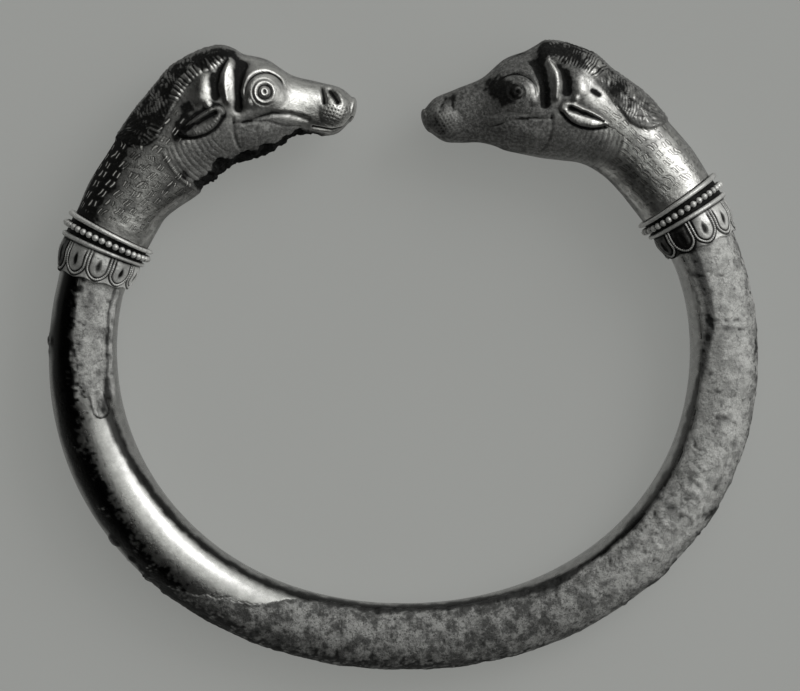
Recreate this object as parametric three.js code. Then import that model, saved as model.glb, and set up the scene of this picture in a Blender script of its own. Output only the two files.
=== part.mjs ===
import * as THREE from 'three'

// Animal-head bracelet: a round rod bent into an open hoop, with a calf's head and neck on each end.
// A collar covers each joint: two rims, a beaded wire between them and a skirt of tongues.
// Millimetres. The hoop is drawn flat in the XY plane with its gap towards +Y, then laid to rest on Z = 0.

// Hoop
const hoopHalfWidth = 35.94
const hoopHalfDepth = 31.81
const hoopSquareness = 2.07 // 2 would be a true oval
const rodEndRadius = 3.8
const leftLimbSwell = 0.27
const rightLimbSwell = 0.14
const leftCollarHeight = 12.76 // the middle of each ring, above the hoop's widest line
const rightCollarHeight = 16.37
const wearFlatDepth = 0.14 // worn off the underside, where the hoop rests

// Collars
const ringHalfLength = 1.25
const upperRimRadius = 5.25
const lowerRimRadius = 4.98
const rimHalfWidth = 0.24
const beadCount = 38
const beadRadius = 0.36
const beadNeckRadius = 0.15
const beadRingRadius = 5.35 // over the beads
const skirtLength = 3.4
const skirtTopRadius = 4.5
const skirtBellyRadius = 4.62
const skirtHemRadius = 4.18
const tongueCount = 10
const tongueRise = 0.12 // the wire round each tongue
const tongueValley = 0.08 // between two tongues
const tongueDish = 0.14 // the drop-shaped hollow in its middle
const hemScallop = 0.2
const leftCollarTurn = -0.6 // in tongues
const rightCollarTurn = -0.16

// Fits
const slideGap = 0.15 // round the rod, in the collars and in the necks
const buttGap = 0.1 // between a neck and its ring
const beadGap = 0.05 // between the beaded wire and its groove

// Heads, drawn once as shares of their reach along the neck and their drop towards the inside
const leftReach = 26.2
const rightReach = 25.1
const headDrop = 19.1
const rightCrestDip = 0.5 // the right head's mane lies this much lower
const rightJawDrop = 0.75 // and its jaw hangs this much nearer to its collar
const neckRadius = 4.5
const socketDepth = 2.4
const cheekSquareness = 2.25

// Facets
const hoopRows = 44
const hoopColumns = 14
const collarColumnsPerTongue = 6
const beadSteps = 2
const beadSides = 5
const headRows = 34
const headColumns = 26
const muzzleRows = 3

const silver = { color: 0x8f8d88, roughness: 0.38, metalness: 1 }
const crustedSilver = { color: 0x7f7d78, roughness: 0.5, metalness: 0.9 }

const { clamp, lerp, smoothstep } = THREE.MathUtils
const fullTurn = 2 * Math.PI

// Closed grids of quads

function gridGeometry(points, quads, caps) {
  const faces = []
  for (const [a, b, c, d] of quads) faces.push(a, b, c, a, c, d)
  for (const [a, b, c] of caps) faces.push(a, b, c)
  if (signedVolume(points, faces) < 0) faces.reverse()
  const geometry = new THREE.BufferGeometry().setFromPoints(points)
  geometry.setIndex(faces)
  geometry.computeVertexNormals()
  return geometry
}

function signedVolume(points, faces) {
  let volume = 0
  const cross = new THREE.Vector3()
  for (let i = 0; i < faces.length; i += 3) {
    cross.crossVectors(points[faces[i + 1]], points[faces[i + 2]])
    volume += points[faces[i]].dot(cross) / 6
  }
  return volume
}

// Rings of points from one pole to the other, closed by a fan at each end
function capsule(rings, firstPole, lastPole) {
  const columns = rings[0].length
  const points = [...rings.flat(), firstPole, lastPole]
  const first = points.length - 2
  const last = points.length - 1
  const quads = []
  const caps = []
  for (let column = 0; column < columns; column++) {
    const next = (column + 1) % columns
    for (let row = 0; row + 1 < rings.length; row++) {
      const here = row * columns
      const above = here + columns
      quads.push([here + column, here + next, above + next, above + column])
    }
    const top = (rings.length - 1) * columns
    caps.push([first, next, column])
    caps.push([last, top + column, top + next])
  }
  return gridGeometry(points, quads, caps)
}

// Rings of points that close on the first ring again
function torus(rings) {
  const columns = rings[0].length
  const quads = []
  for (let row = 0; row < rings.length; row++) {
    const here = row * columns
    const above = ((row + 1) % rings.length) * columns
    for (let column = 0; column < columns; column++) {
      const next = (column + 1) % columns
      quads.push([here + column, here + next, above + next, above + column])
    }
  }
  return gridGeometry(rings.flat(), quads, [])
}

// Hoop: its centre line is a slightly squared oval

function hoopPoint(angle) {
  const power = 2 / hoopSquareness
  const along = Math.cos(angle)
  const across = Math.sin(angle)
  return new THREE.Vector3(
    hoopHalfWidth * Math.sign(along) * Math.abs(along) ** power,
    hoopHalfDepth * Math.sign(across) * Math.abs(across) ** power,
    0
  )
}

function angleAtHeight(height) {
  return Math.asin((height / hoopHalfDepth) ** (hoopSquareness / 2))
}

const rightAngle = angleAtHeight(rightCollarHeight)
const leftAngle = -Math.PI - angleAtHeight(leftCollarHeight)

// Place, direction and bend of the rod's end under a ring; side is 1 for the left end, -1 for the right
function ringFrame(angle, side) {
  const step = 0.01
  const before = hoopPoint(angle + side * step)
  const here = hoopPoint(angle)
  const after = hoopPoint(angle - side * step)
  const tangent = after.clone().sub(before)
  const speed = tangent.length() / (2 * step)
  const bend = after.add(before).addScaledVector(here, -2).length() / (step * speed) ** 2
  const turn = Math.atan2(-tangent.x, tangent.y)
  return { place: here, turn, speed, bendRadius: 1 / bend, side }
}

const leftRing = ringFrame(leftAngle, 1)
const rightRing = ringFrame(rightAngle, -1)

const tenonReach = ringHalfLength + buttGap + socketDepth

class HoopCurve extends THREE.Curve {
  constructor() {
    super()
    this.start = leftAngle - tenonReach / leftRing.speed
    this.end = rightAngle + tenonReach / rightRing.speed
  }

  getPoint(t, target = new THREE.Vector3()) {
    return target.copy(hoopPoint(lerp(this.start, this.end, t)))
  }
}

// A smooth hump of height 1 round a share of the hoop's length
function hump(share, middle, halfWidth) {
  const away = clamp(Math.abs(share - middle) / halfWidth, 0, 1)
  return (1 + Math.cos(Math.PI * away)) / 2
}

function rodRadius(share) {
  return rodEndRadius + leftLimbSwell * hump(share, 0.23, 0.18) + rightLimbSwell * hump(share, 0.79, 0.16)
}

function hoopGeometry() {
  const curve = new HoopCurve()
  const rings = []
  for (let row = 0; row <= hoopRows; row++) {
    const share = row / hoopRows
    const centre = curve.getPointAt(share)
    const tangent = curve.getTangentAt(share)
    const outward = new THREE.Vector3(tangent.y, -tangent.x, 0)
    const ring = []
    for (let column = 0; column < hoopColumns; column++) {
      const around = (fullTurn * column) / hoopColumns
      const point = centre.clone().addScaledVector(outward, rodRadius(share) * Math.cos(around))
      point.z = rodRadius(share) * Math.sin(around)
      ring.push(point)
    }
    rings.push(ring)
  }
  return capsule(rings, curve.getPointAt(0), curve.getPointAt(1))
}

// Pieces on the hoop's ends are drawn with +Y along the rod's end and the rod's own bend

function onEnd(frame, along, inward, up) {
  const swing = along / frame.bendRadius
  const centreX = frame.bendRadius * (1 - Math.cos(swing))
  const centreY = frame.bendRadius * Math.sin(swing)
  return new THREE.Vector3(
    frame.side * (centreX + inward * Math.cos(swing)),
    centreY - inward * Math.sin(swing),
    up
  )
}

// Collar: rows from the ring's top face down the outside to the hem, and back up the bore

const boreRadius = rodEndRadius + slideGap
const grooveRadius = beadRingRadius - 2 * beadRadius - beadGap
const hemAlong = -ringHalfLength - skirtLength

// Rise of the skirt at a share across one tongue: a valley between tongues, a wired edge, a dished middle
function tongueRelief(share, downSkirt, dished) {
  const fromMiddle = Math.abs(share - 0.5) * 2
  const edge = hump(fromMiddle, 0.68, 0.32)
  const valley = smoothstep(fromMiddle, 0.7, 1)
  const dish = hump(fromMiddle, 0, 0.5)
  return downSkirt * (tongueRise * edge - tongueValley * valley) - dished * tongueDish * dish
}

function collarRow(along, radius, shape = {}) {
  return { along, radius, carved: 0, dished: 0, scallop: 0, ...shape }
}

const grooveHalfWidth = ringHalfLength - 2 * rimHalfWidth
const skirtWaistRadius = lerp(skirtBellyRadius, skirtHemRadius, 0.4)
const collarRows = [
  collarRow(ringHalfLength, boreRadius),
  collarRow(ringHalfLength, upperRimRadius),
  collarRow(grooveHalfWidth, upperRimRadius),
  collarRow(grooveHalfWidth, grooveRadius),
  collarRow(-grooveHalfWidth, grooveRadius),
  collarRow(-grooveHalfWidth, lowerRimRadius),
  collarRow(-ringHalfLength, lowerRimRadius),
  collarRow(-ringHalfLength, skirtTopRadius),
  collarRow(-ringHalfLength - 0.35 * skirtLength, skirtBellyRadius, { carved: 0.8, dished: 1 }),
  collarRow(-ringHalfLength - 0.7 * skirtLength, skirtWaistRadius, { carved: 1, dished: 0.6 }),
  collarRow(hemAlong, skirtHemRadius, { carved: 0.5, scallop: hemScallop }),
  collarRow(hemAlong, boreRadius, { scallop: hemScallop })
]

function collarGeometry(frame, collarTurn) {
  const columns = collarColumnsPerTongue * tongueCount
  const rings = []
  for (const row of collarRows) {
    const ring = []
    for (let column = 0; column < columns; column++) {
      const around = (fullTurn * (column / collarColumnsPerTongue + collarTurn)) / tongueCount
      const share = (column / collarColumnsPerTongue + 0.5) % 1
      const along = row.along + row.scallop * (1 - hump(share, 0.5, 0.5))
      const radius = row.radius + tongueRelief(share, row.carved, row.dished)
      ring.push(onEnd(frame, along, radius * Math.cos(around), radius * Math.sin(around)))
    }
    rings.push(ring)
  }
  return torus(rings)
}

function beadedWireGeometry() {
  const steps = beadCount * beadSteps
  const middleRadius = beadRingRadius - beadRadius
  const rings = []
  for (let step = 0; step < steps; step++) {
    const around = (fullTurn * step) / steps
    const swell = Math.abs(Math.cos((Math.PI * step) / beadSteps))
    const thickness = lerp(beadNeckRadius, beadRadius, swell)
    const ring = []
    for (let corner = 0; corner < beadSides; corner++) {
      const roll = (fullTurn * corner) / beadSides
      const radius = middleRadius + thickness * Math.cos(roll)
      ring.push(
        new THREE.Vector3(radius * Math.cos(around), thickness * Math.sin(roll), radius * Math.sin(around))
      )
    }
    rings.push(ring)
  }
  return torus(rings)
}

// Head: cross sections between a crown line and a throat line, as shares of reach and drop

const stations = [
  { place: 'neck', crown: [0.202, -0.236], throat: [0.206, 0.257], breadth: 4.45, crest: 0, jaw: 0 },
  { place: 'upper neck', crown: [0.357, -0.208], throat: [0.317, 0.288], breadth: 4.5, crest: 0, jaw: 0 },
  { place: 'nape', crown: [0.51, -0.179], throat: [0.408, 0.351], breadth: 4.55, crest: 0, jaw: 0 },
  { place: 'withers', crown: [0.672, -0.125], throat: [0.485, 0.445], breadth: 4.65, crest: 1, jaw: 0.4 },
  { place: 'ears', crown: [0.809, -0.063], throat: [0.542, 0.534], breadth: 4.75, crest: 1, jaw: 0.4 },
  { place: 'poll', crown: [0.954, 0.126], throat: [0.622, 0.644], breadth: 4.75, crest: 0.8, jaw: 0.4 },
  { place: 'forehead', crown: [0.969, 0.272], throat: [0.672, 0.691], breadth: 4.6, crest: 0, jaw: 0.8 },
  { place: 'eyes', crown: [0.989, 0.403], throat: [0.721, 0.73], breadth: 4.1, crest: 0, jaw: 1 },
  { place: 'bridge', crown: [0.973, 0.576], throat: [0.767, 0.791], breadth: 3.1, crest: 0, jaw: 1 },
  { place: 'nose', crown: [0.994, 0.733], throat: [0.786, 0.88], breadth: 2.75, crest: 0, jaw: 0.2 },
  { place: 'nostrils', crown: [1.011, 0.874], throat: [0.828, 0.961], breadth: 2.6, crest: 0, jaw: 0 },
  { place: 'lips', crown: [0.996, 0.953], throat: [0.893, 1], breadth: 1.75, crest: 0, jaw: 0 }
]
const muzzleTip = [0.962, 1.003]

// Carving on both cheeks, placed in the left head's own millimetres along the neck and inwards
const drawnReach = 26.2
const drawnDrop = 19.1
const carvingStart = 5 // the neck below this stays plain
const carvingFull = 9
const rightFaceShift = 1.1 // the right head's ear and brow sit this much nearer to its collar
const earEnd = 3 // inwards
const noseStart = 14
const eye = { along: 22.6, inward: 9.1, radius: 2.3, rise: 0.6, lidRise: 0.16, lidWidth: 0.4 }
const brow = { path: [[24.1, 4.2], [22.5, 4.5], [21.3, 4.9], [19.8, 5.9]], depth: -0.36, width: 0.5 }
const browHollow = { path: [[24.9, 5.5], [23.1, 5.75], [21.5, 6.4], [19.8, 7.3]], depth: 0.6, width: 0.6 }
const templeLine = { path: [[24.1, 3.8], [22.5, 3.5], [21.2, 3.7], [20.1, 4.3]], depth: 0.36, width: 0.4 }
const temple = { path: [[20.9, 2.3], [19.2, 3]], depth: -0.45, width: 0.95 }
const cheekLine = { path: [[18.6, 8.4], [19.6, 9.4], [20.9, 10.8], [21.8, 14.7]], depth: 0.24, width: 0.45 }
const jawBack = { path: [[18.4, 7.2], [16, 8.8], [15.4, 11.6]], depth: 0.18, width: 0.4 }
const throatSeam = { along: 17.9, inward: 7.8, radius: 8.6, rise: 0.18, width: 0.45 }
const lipPad = { along: 23.9, inward: 17.2, radius: 1.9, rise: 0.32 }
const nostril = { path: [[25.9, 15.6], [25, 16.9]], depth: 0.5, width: 0.45 }
const mouth = { path: [[21.3, 15.6], [21.8, 17.7], [24, 19.1]], depth: 0.32, width: 0.35 }
const earSpine = [[18.4, 5.2], [16.9, 4.5], [15.7, 3.6], [14.4, 2.6]]
const ear = { spine: earSpine, halfWidth: 1.15, rise: 0.6, slit: 0.5 }
const mane = { rise: 0.28, lockDepth: 0.18, lockPitch: 1.7 }
const maneEdge = [[10.6, -3.6], [11.8, -0.4], [13.1, 0.35], [18.1, 0.75], [21.5, 1.9], [23.8, 3.6], [25.2, 5]]
const tornEdge = { along: 9.3, halfLength: 5, swell: 1.3 } // bent out under the left throat

function bell(x, width) {
  return Math.exp(-((x / width) ** 2))
}

function bump(shape, along, inward) {
  const away = Math.hypot(along - shape.along, inward - shape.inward) / shape.radius
  return shape.rise * Math.max(0, 1 - away * away)
}

// The nearest place on a path: its length from the start, the distance off it, and which side
function nearPath(path, along, inward) {
  let nearest = { off: Infinity }
  let done = 0
  for (let i = 0; i + 1 < path.length; i++) {
    const [from, to] = [path[i], path[i + 1]]
    const [dx, dy] = [to[0] - from[0], to[1] - from[1]]
    const length = Math.hypot(dx, dy)
    const share = clamp(((along - from[0]) * dx + (inward - from[1]) * dy) / length ** 2, 0, 1)
    const off = Math.hypot(along - from[0] - share * dx, inward - from[1] - share * dy)
    const crownSide = (along - from[0]) * dy - (inward - from[1]) * dx > 0
    if (off < nearest.off) nearest = { run: done + share * length, off, crownSide }
    done += length
  }
  return { ...nearest, length: done }
}

function groove(shape, along, inward) {
  return -shape.depth * bell(nearPath(shape.path, along, inward).off, shape.width)
}

function ringRidge(shape, along, inward, rise, width) {
  const away = Math.hypot(along - shape.along, inward - shape.inward)
  return rise * bell(away - shape.radius, width)
}

function earRelief(along, inward) {
  const { run, off, length } = nearPath(ear.spine, along, inward)
  const halfWidth = ear.halfWidth * Math.sin(Math.PI * lerp(0.2, 0.97, run / length)) ** 0.7
  const leaf = 1 - smoothstep(off / halfWidth, 0.75, 1.15)
  return leaf * (ear.rise - ear.slit * bell(off / halfWidth, 0.4))
}

// The mane runs from the forehead over the poll to the nape, with locks combed down to its edge
function maneRelief(along, inward) {
  const { run, off, crownSide, length } = nearPath(maneEdge, along, inward)
  const above = crownSide ? off : -off
  const ends = smoothstep(run, 0, 0.8) * (1 - smoothstep(run, length - 0.4, length))
  const lock = Math.cos((fullTurn * (run + 0.2 * above)) / mane.lockPitch)
  return smoothstep(above, -0.2, 0.5) * ends * (mane.rise + mane.lockDepth * lock)
}

function cheekRelief(along, inward) {
  const grooves = [brow, browHollow, templeLine, temple, cheekLine, jawBack, nostril, mouth]
  const carved = grooves.reduce((sum, shape) => sum + groove(shape, along, inward), 0)
  const lid = ringRidge(eye, along, inward, eye.lidRise, eye.lidWidth)
  const seam = ringRidge(throatSeam, along, inward, throatSeam.rise, throatSeam.width)
  const seamEnds = smoothstep(throatSeam.along - along, 0.5, 2)
  const swells = bump(eye, along, inward) + bump(lipPad, along, inward)
  return carved + lid + seam * seamEnds + swells + earRelief(along, inward)
}

function headSections(head) {
  const place = ([along, inward]) => new THREE.Vector3(along * head.reach, inward * headDrop, 0)
  const base = (inward) => {
    const point = onEnd(head.frame, ringHalfLength + buttGap, inward, 0)
    return new THREE.Vector3(point.y, head.frame.side * point.x, 0)
  }
  const dipped = (s) => place(s.crown).add(new THREE.Vector3(0, s.crest * head.crestDip, 0))
  const dropped = (s) => place(s.throat).add(new THREE.Vector3(-s.jaw * head.jawDrop, 0, 0))
  const crown = [base(-neckRadius), ...stations.map(dipped)]
  const throat = [base(neckRadius), ...stations.map(dropped)]
  const breadth = [neckRadius, ...stations.map((s) => s.breadth)].map((b, i) => new THREE.Vector3(i, b, 0))
  return {
    crown: new THREE.CatmullRomCurve3(crown, false, 'centripetal'),
    throat: new THREE.CatmullRomCurve3(throat, false, 'centripetal'),
    breadth: new THREE.CatmullRomCurve3(breadth),
    tip: place(muzzleTip)
  }
}

// Where a point of a head falls in the drawn face
function faceCoordinates(head, point) {
  const along = (point.x * drawnReach) / head.reach
  const inward = (point.y * drawnDrop) / headDrop
  return {
    along: along + head.faceShift * (1 - smoothstep(inward, earEnd, noseStart)),
    inward: inward + 0.45 * head.faceShift * (1 - smoothstep(inward, eye.inward, noseStart))
  }
}

function headRing(head, crown, throat, breadth, shrink, centreShift) {
  const middle = crown.clone().add(throat).multiplyScalar(0.5).add(centreShift)
  const upward = crown.clone().sub(throat).multiplyScalar(0.5 * shrink)
  const ring = []
  for (let column = 0; column < headColumns; column++) {
    const around = (fullTurn * column) / headColumns
    const high = Math.sign(Math.cos(around)) * Math.abs(Math.cos(around)) ** (2 / cheekSquareness)
    const wide = Math.sign(Math.sin(around)) * Math.abs(Math.sin(around)) ** (2 / cheekSquareness)
    const point = middle.clone().addScaledVector(upward, high)
    point.z = wide * breadth * shrink
    const normal = upward.clone().multiplyScalar(high / upward.lengthSq())
    normal.z = wide / (breadth * shrink)
    normal.normalize()
    const sideways = smoothstep(Math.abs(wide), 0.35, 0.75)
    const fade = smoothstep(point.x, carvingStart, carvingFull)
    const seen = faceCoordinates(head, point)
    const rise = fade * (sideways * cheekRelief(seen.along, seen.inward) + maneRelief(seen.along, seen.inward))
    const tornSpan = hump(seen.along, tornEdge.along, tornEdge.halfLength)
    const torn = head.tornSwell * tornSpan * smoothstep(-high, 0.6, 1)
    point.addScaledVector(normal, rise + torn)
    ring.push(new THREE.Vector3(head.frame.side * point.y, point.x, point.z))
  }
  return ring
}

function headGeometry(head) {
  const sections = headSections(head)
  const start = ringHalfLength + buttGap
  const socketRing = (along) => {
    const ring = []
    for (let column = 0; column < headColumns; column++) {
      const around = (fullTurn * column) / headColumns
      ring.push(onEnd(head.frame, along, -boreRadius * Math.cos(around), boreRadius * Math.sin(around)))
    }
    return ring
  }
  const socketEnd = start + socketDepth + buttGap
  const rings = [socketRing(socketEnd), socketRing(start)]
  const still = new THREE.Vector3()
  for (let row = 0; row <= headRows; row++) {
    const t = row / headRows
    const crown = sections.crown.getPoint(t)
    const throat = sections.throat.getPoint(t)
    rings.push(headRing(head, crown, throat, sections.breadth.getPoint(t).y, 1, still))
  }
  const crown = sections.crown.getPoint(1)
  const throat = sections.throat.getPoint(1)
  const toTip = sections.tip.clone().sub(crown.clone().add(throat).multiplyScalar(0.5))
  const lipBreadth = sections.breadth.getPoint(1).y
  for (let row = 1; row <= muzzleRows; row++) {
    const closing = ((Math.PI / 2) * row) / (muzzleRows + 1)
    const shift = toTip.clone().multiplyScalar(Math.sin(closing))
    rings.push(headRing(head, crown, throat, lipBreadth, Math.cos(closing), shift))
  }
  const tip = new THREE.Vector3(head.frame.side * sections.tip.y, sections.tip.x, 0)
  return capsule(rings, onEnd(head.frame, socketEnd, 0, 0), tip)
}

// Assembly

function piece(name, geometry, finish) {
  const mesh = new THREE.Mesh(geometry, new THREE.MeshStandardMaterial(finish))
  mesh.name = name
  return mesh
}

function endPieces(side, head) {
  const pieces = [
    piece(`${side}_head`, headGeometry(head), silver),
    piece(`${side}_collar`, collarGeometry(head.frame, head.collarTurn), silver),
    piece(`${side}_beaded_wire`, beadedWireGeometry(), silver)
  ]
  const end = new THREE.Group().add(...pieces)
  end.position.copy(head.frame.place)
  end.rotation.z = head.frame.turn
  return end
}

const hoop = piece('hoop', hoopGeometry(), crustedSilver)
const leftEnd = endPieces('left', {
  frame: leftRing,
  reach: leftReach,
  crestDip: 0,
  jawDrop: 0,
  faceShift: 0,
  tornSwell: tornEdge.swell,
  collarTurn: leftCollarTurn
})
const rightEnd = endPieces('right', {
  frame: rightRing,
  reach: rightReach,
  crestDip: rightCrestDip,
  jawDrop: rightJawDrop,
  faceShift: rightFaceShift,
  tornSwell: 0,
  collarTurn: rightCollarTurn
})

// Laid down, the bracelet touches on both beaded wires and under the middle of the hoop

function worldPoints(object) {
  const points = []
  object.updateMatrixWorld(true)
  object.traverse((part) => {
    const position = part.geometry?.getAttribute('position')
    for (let i = 0; i < (position?.count ?? 0); i++) {
      points.push(new THREE.Vector3().fromBufferAttribute(position, i).applyMatrix4(part.matrixWorld))
    }
  })
  return points
}

function lowest(points, up) {
  return points.reduce((best, point) => (point.dot(up) < best.dot(up) ? point : best))
}

function restingPlane(supports) {
  const clouds = supports.map(worldPoints)
  let up = new THREE.Vector3(0, 0, 1)
  let feet = []
  for (let pass = 0; pass < 4; pass++) {
    feet = clouds.map((cloud) => lowest(cloud, up).clone())
    feet[1].addScaledVector(up, wearFlatDepth)
    const [left, middle, right] = feet
    up = right.clone().sub(left).cross(middle.clone().sub(left)).normalize()
    if (up.z < 0) up.negate()
  }
  return new THREE.Plane().setFromNormalAndCoplanarPoint(up, feet[0])
}

const floor = restingPlane([leftEnd, hoop, rightEnd])

function wearFlat(mesh, plane) {
  const position = mesh.geometry.getAttribute('position')
  const point = new THREE.Vector3()
  for (let i = 0; i < position.count; i++) {
    point.fromBufferAttribute(position, i)
    point.addScaledVector(plane.normal, Math.max(0, -plane.distanceToPoint(point)))
    position.setXYZ(i, point.x, point.y, point.z)
  }
  mesh.geometry.computeVertexNormals()
}

wearFlat(hoop, floor)

const bracelet = new THREE.Group().add(hoop, leftEnd, rightEnd)
bracelet.quaternion.setFromUnitVectors(floor.normal, new THREE.Vector3(0, 0, 1))
const bounds = new THREE.Box3().setFromPoints(worldPoints(bracelet))
bracelet.position.copy(bounds.getCenter(new THREE.Vector3()).negate())
bracelet.position.z = -bounds.min.z

const group = new THREE.Group().add(bracelet)

export default group
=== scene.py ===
"""Animal-head bracelet in tarnished silver: a round rod bent into an open hoop, a calf's head on each end."""

import itertools
import math
import bpy
import numpy as np
from mathutils import Matrix, Vector


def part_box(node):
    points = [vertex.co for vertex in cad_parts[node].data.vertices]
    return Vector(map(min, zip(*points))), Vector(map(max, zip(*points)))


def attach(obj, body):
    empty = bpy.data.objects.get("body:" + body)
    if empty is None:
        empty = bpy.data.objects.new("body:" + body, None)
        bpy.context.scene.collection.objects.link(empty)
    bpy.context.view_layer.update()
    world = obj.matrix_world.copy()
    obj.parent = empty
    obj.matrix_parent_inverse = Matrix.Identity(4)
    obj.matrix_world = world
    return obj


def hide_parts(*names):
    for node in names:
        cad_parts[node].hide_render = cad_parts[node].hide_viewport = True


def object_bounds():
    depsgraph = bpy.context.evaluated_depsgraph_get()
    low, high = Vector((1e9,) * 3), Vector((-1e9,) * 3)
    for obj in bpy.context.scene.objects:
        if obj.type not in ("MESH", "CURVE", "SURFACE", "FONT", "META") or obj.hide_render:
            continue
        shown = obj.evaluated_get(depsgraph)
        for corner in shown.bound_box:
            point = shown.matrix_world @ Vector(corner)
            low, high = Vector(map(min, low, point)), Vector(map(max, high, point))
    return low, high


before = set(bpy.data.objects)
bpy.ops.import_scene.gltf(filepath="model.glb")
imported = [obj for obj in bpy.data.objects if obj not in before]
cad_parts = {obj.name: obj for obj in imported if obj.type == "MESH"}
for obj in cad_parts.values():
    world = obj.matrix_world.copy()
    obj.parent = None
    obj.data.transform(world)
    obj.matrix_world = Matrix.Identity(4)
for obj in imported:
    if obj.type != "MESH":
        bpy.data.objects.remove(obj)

cad_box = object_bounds()
MM = 0.001

# Hoop, in millimetres, as the frame has it
HOOP_HALF_WIDTH = 35.94
HOOP_HALF_DEPTH = 31.81
HOOP_SQUARENESS = 2.07
ROD_END_RADIUS = 3.8
LEFT_LIMB_SWELL = 0.27
RIGHT_LIMB_SWELL = 0.14
LEFT_COLLAR_HEIGHT = 12.76
RIGHT_COLLAR_HEIGHT = 16.37
WEAR_FLAT_DEPTH = 0.14
FACET_HALF_ANGLE = math.pi / 14

# Collars
RING_HALF_LENGTH = 1.25
UPPER_RIM_RADIUS = 5.25
LOWER_RIM_RADIUS = 4.98
RIM_HALF_WIDTH = 0.24
BEAD_COUNT = 38
BEAD_RADIUS = 0.36
BEAD_NECK_RADIUS = 0.15
BEAD_RING_RADIUS = 5.35
SKIRT_LENGTH = 3.4
SKIRT_TOP_RADIUS = 4.5
SKIRT_BELLY_RADIUS = 4.62
SKIRT_HEM_RADIUS = 4.18
TONGUE_COUNT = 10
HEM_SCALLOP = 0.2
LEFT_COLLAR_TURN = -0.6
RIGHT_COLLAR_TURN = -0.16
SLIDE_GAP = 0.15
BUTT_GAP = 0.1
BEAD_GAP = 0.05

# Heads
LEFT_REACH = 26.2
RIGHT_REACH = 25.1
HEAD_DROP = 19.1
RIGHT_CREST_DIP = 0.5
RIGHT_JAW_DROP = 0.75
NECK_RADIUS = 4.5
SOCKET_DEPTH = 2.4
CHEEK_SQUARENESS = 2.25
TORN_EDGE_SWELL = 1.3
DRAWN_REACH = 26.2

# Mesh density
HOOP_ROWS, HOOP_COLUMNS = 980, 96
HEAD_ROWS, HEAD_COLUMNS = 416, 224
MUZZLE_ROWS = 22
COLLAR_COLUMNS = 600


# Small curves, on arrays


def smooth(x, low, high):
    t = np.clip((x - low) / (high - low), 0, 1)
    return t * t * (3 - 2 * t)


def hump(x, middle, half_width):
    away = np.clip(np.abs(x - middle) / half_width, 0, 1)
    return (1 + np.cos(np.pi * away)) / 2


def bell(x, width):
    return np.exp(-((x / width) ** 2))


def mix(a, b, share):
    return a + (b - a) * share


def signed_power(x, power):
    return np.sign(x) * np.abs(x) ** power


def lattice(cells, seed):
    """A fixed value from 0 to 1 for each cell of a grid of whole numbers."""
    mixed = cells[..., 0] * 73856093 ^ cells[..., 1] * 19349663 ^ cells[..., 2] * 83492791
    mixed = (mixed ^ seed * 668265263) & 0x7FFFFFFF
    mixed = ((mixed ^ mixed >> 13) * 1274126177) & 0x7FFFFFFF
    mixed = ((mixed ^ mixed >> 15) * 668265263) & 0x7FFFFFFF
    return ((mixed ^ mixed >> 16) & 0xFFFFFF) / 0xFFFFFF


def noise(points, size, seed):
    """Smooth noise from -1 to 1, with features of about the given size."""
    scaled = points / size
    cells = np.floor(scaled).astype(np.int64)
    inside = scaled - cells
    inside = inside * inside * (3 - 2 * inside)
    total = 0
    for corner in itertools.product((0, 1), repeat=3):
        weight = np.prod(np.where(corner, inside, 1 - inside), axis=-1)
        total = total + weight * lattice(cells + np.array(corner), seed)
    return total * 2 - 1


def cloud(points, size, seed, octaves=4):
    """Noise with finer and finer detail added."""
    total = 0
    for octave in range(octaves):
        total = total + noise(points, size / 2**octave, seed + octave) / 2**octave
    return total / 1.6


def blurred(field, passes):
    for _ in range(passes):
        across = (np.roll(field, 1, 1) + np.roll(field, -1, 1)) / 2
        along = (np.vstack([field[:1], field[:-1]]) + np.vstack([field[1:], field[-1:]])) / 2
        field = (field + across + along) / 3
    return field


def catmull(points, t):
    """The curve through the points at shares t, with the same spacing rule as the frame's own curves."""
    points = np.asarray(points, float)
    ends = [2 * points[0] - points[1], 2 * points[-1] - points[-2]]
    padded = np.vstack([ends[0], points, ends[1]])
    place = np.clip(t, 0, 1) * (len(points) - 1)
    start = np.minimum(place.astype(int), len(points) - 2)
    x = (place - start)[:, None]
    p0, p1, p2, p3 = (padded[start + k] for k in range(4))
    d0, d1, d2 = (np.sqrt(np.linalg.norm(b - a, axis=1))[:, None] for a, b in ((p0, p1), (p1, p2), (p2, p3)))
    m1 = ((p1 - p0) / d0 - (p2 - p0) / (d0 + d1) + (p2 - p1) / d1) * d1
    m2 = ((p2 - p1) / d1 - (p3 - p1) / (d1 + d2) + (p3 - p2) / d2) * d1
    c2 = -3 * p1 + 3 * p2 - 2 * m1 - m2
    c3 = 2 * p1 - 2 * p2 + m1 + m2
    return p1 + m1 * x + c2 * x**2 + c3 * x**3


# The hoop's line and its ends


def hoop_point(angle):
    power = 2 / HOOP_SQUARENESS
    x = HOOP_HALF_WIDTH * signed_power(np.cos(angle), power)
    y = HOOP_HALF_DEPTH * signed_power(np.sin(angle), power)
    return np.stack([x, y, np.zeros_like(x)], -1)


def angle_at_height(height):
    return math.asin((height / HOOP_HALF_DEPTH) ** (HOOP_SQUARENESS / 2))


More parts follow.
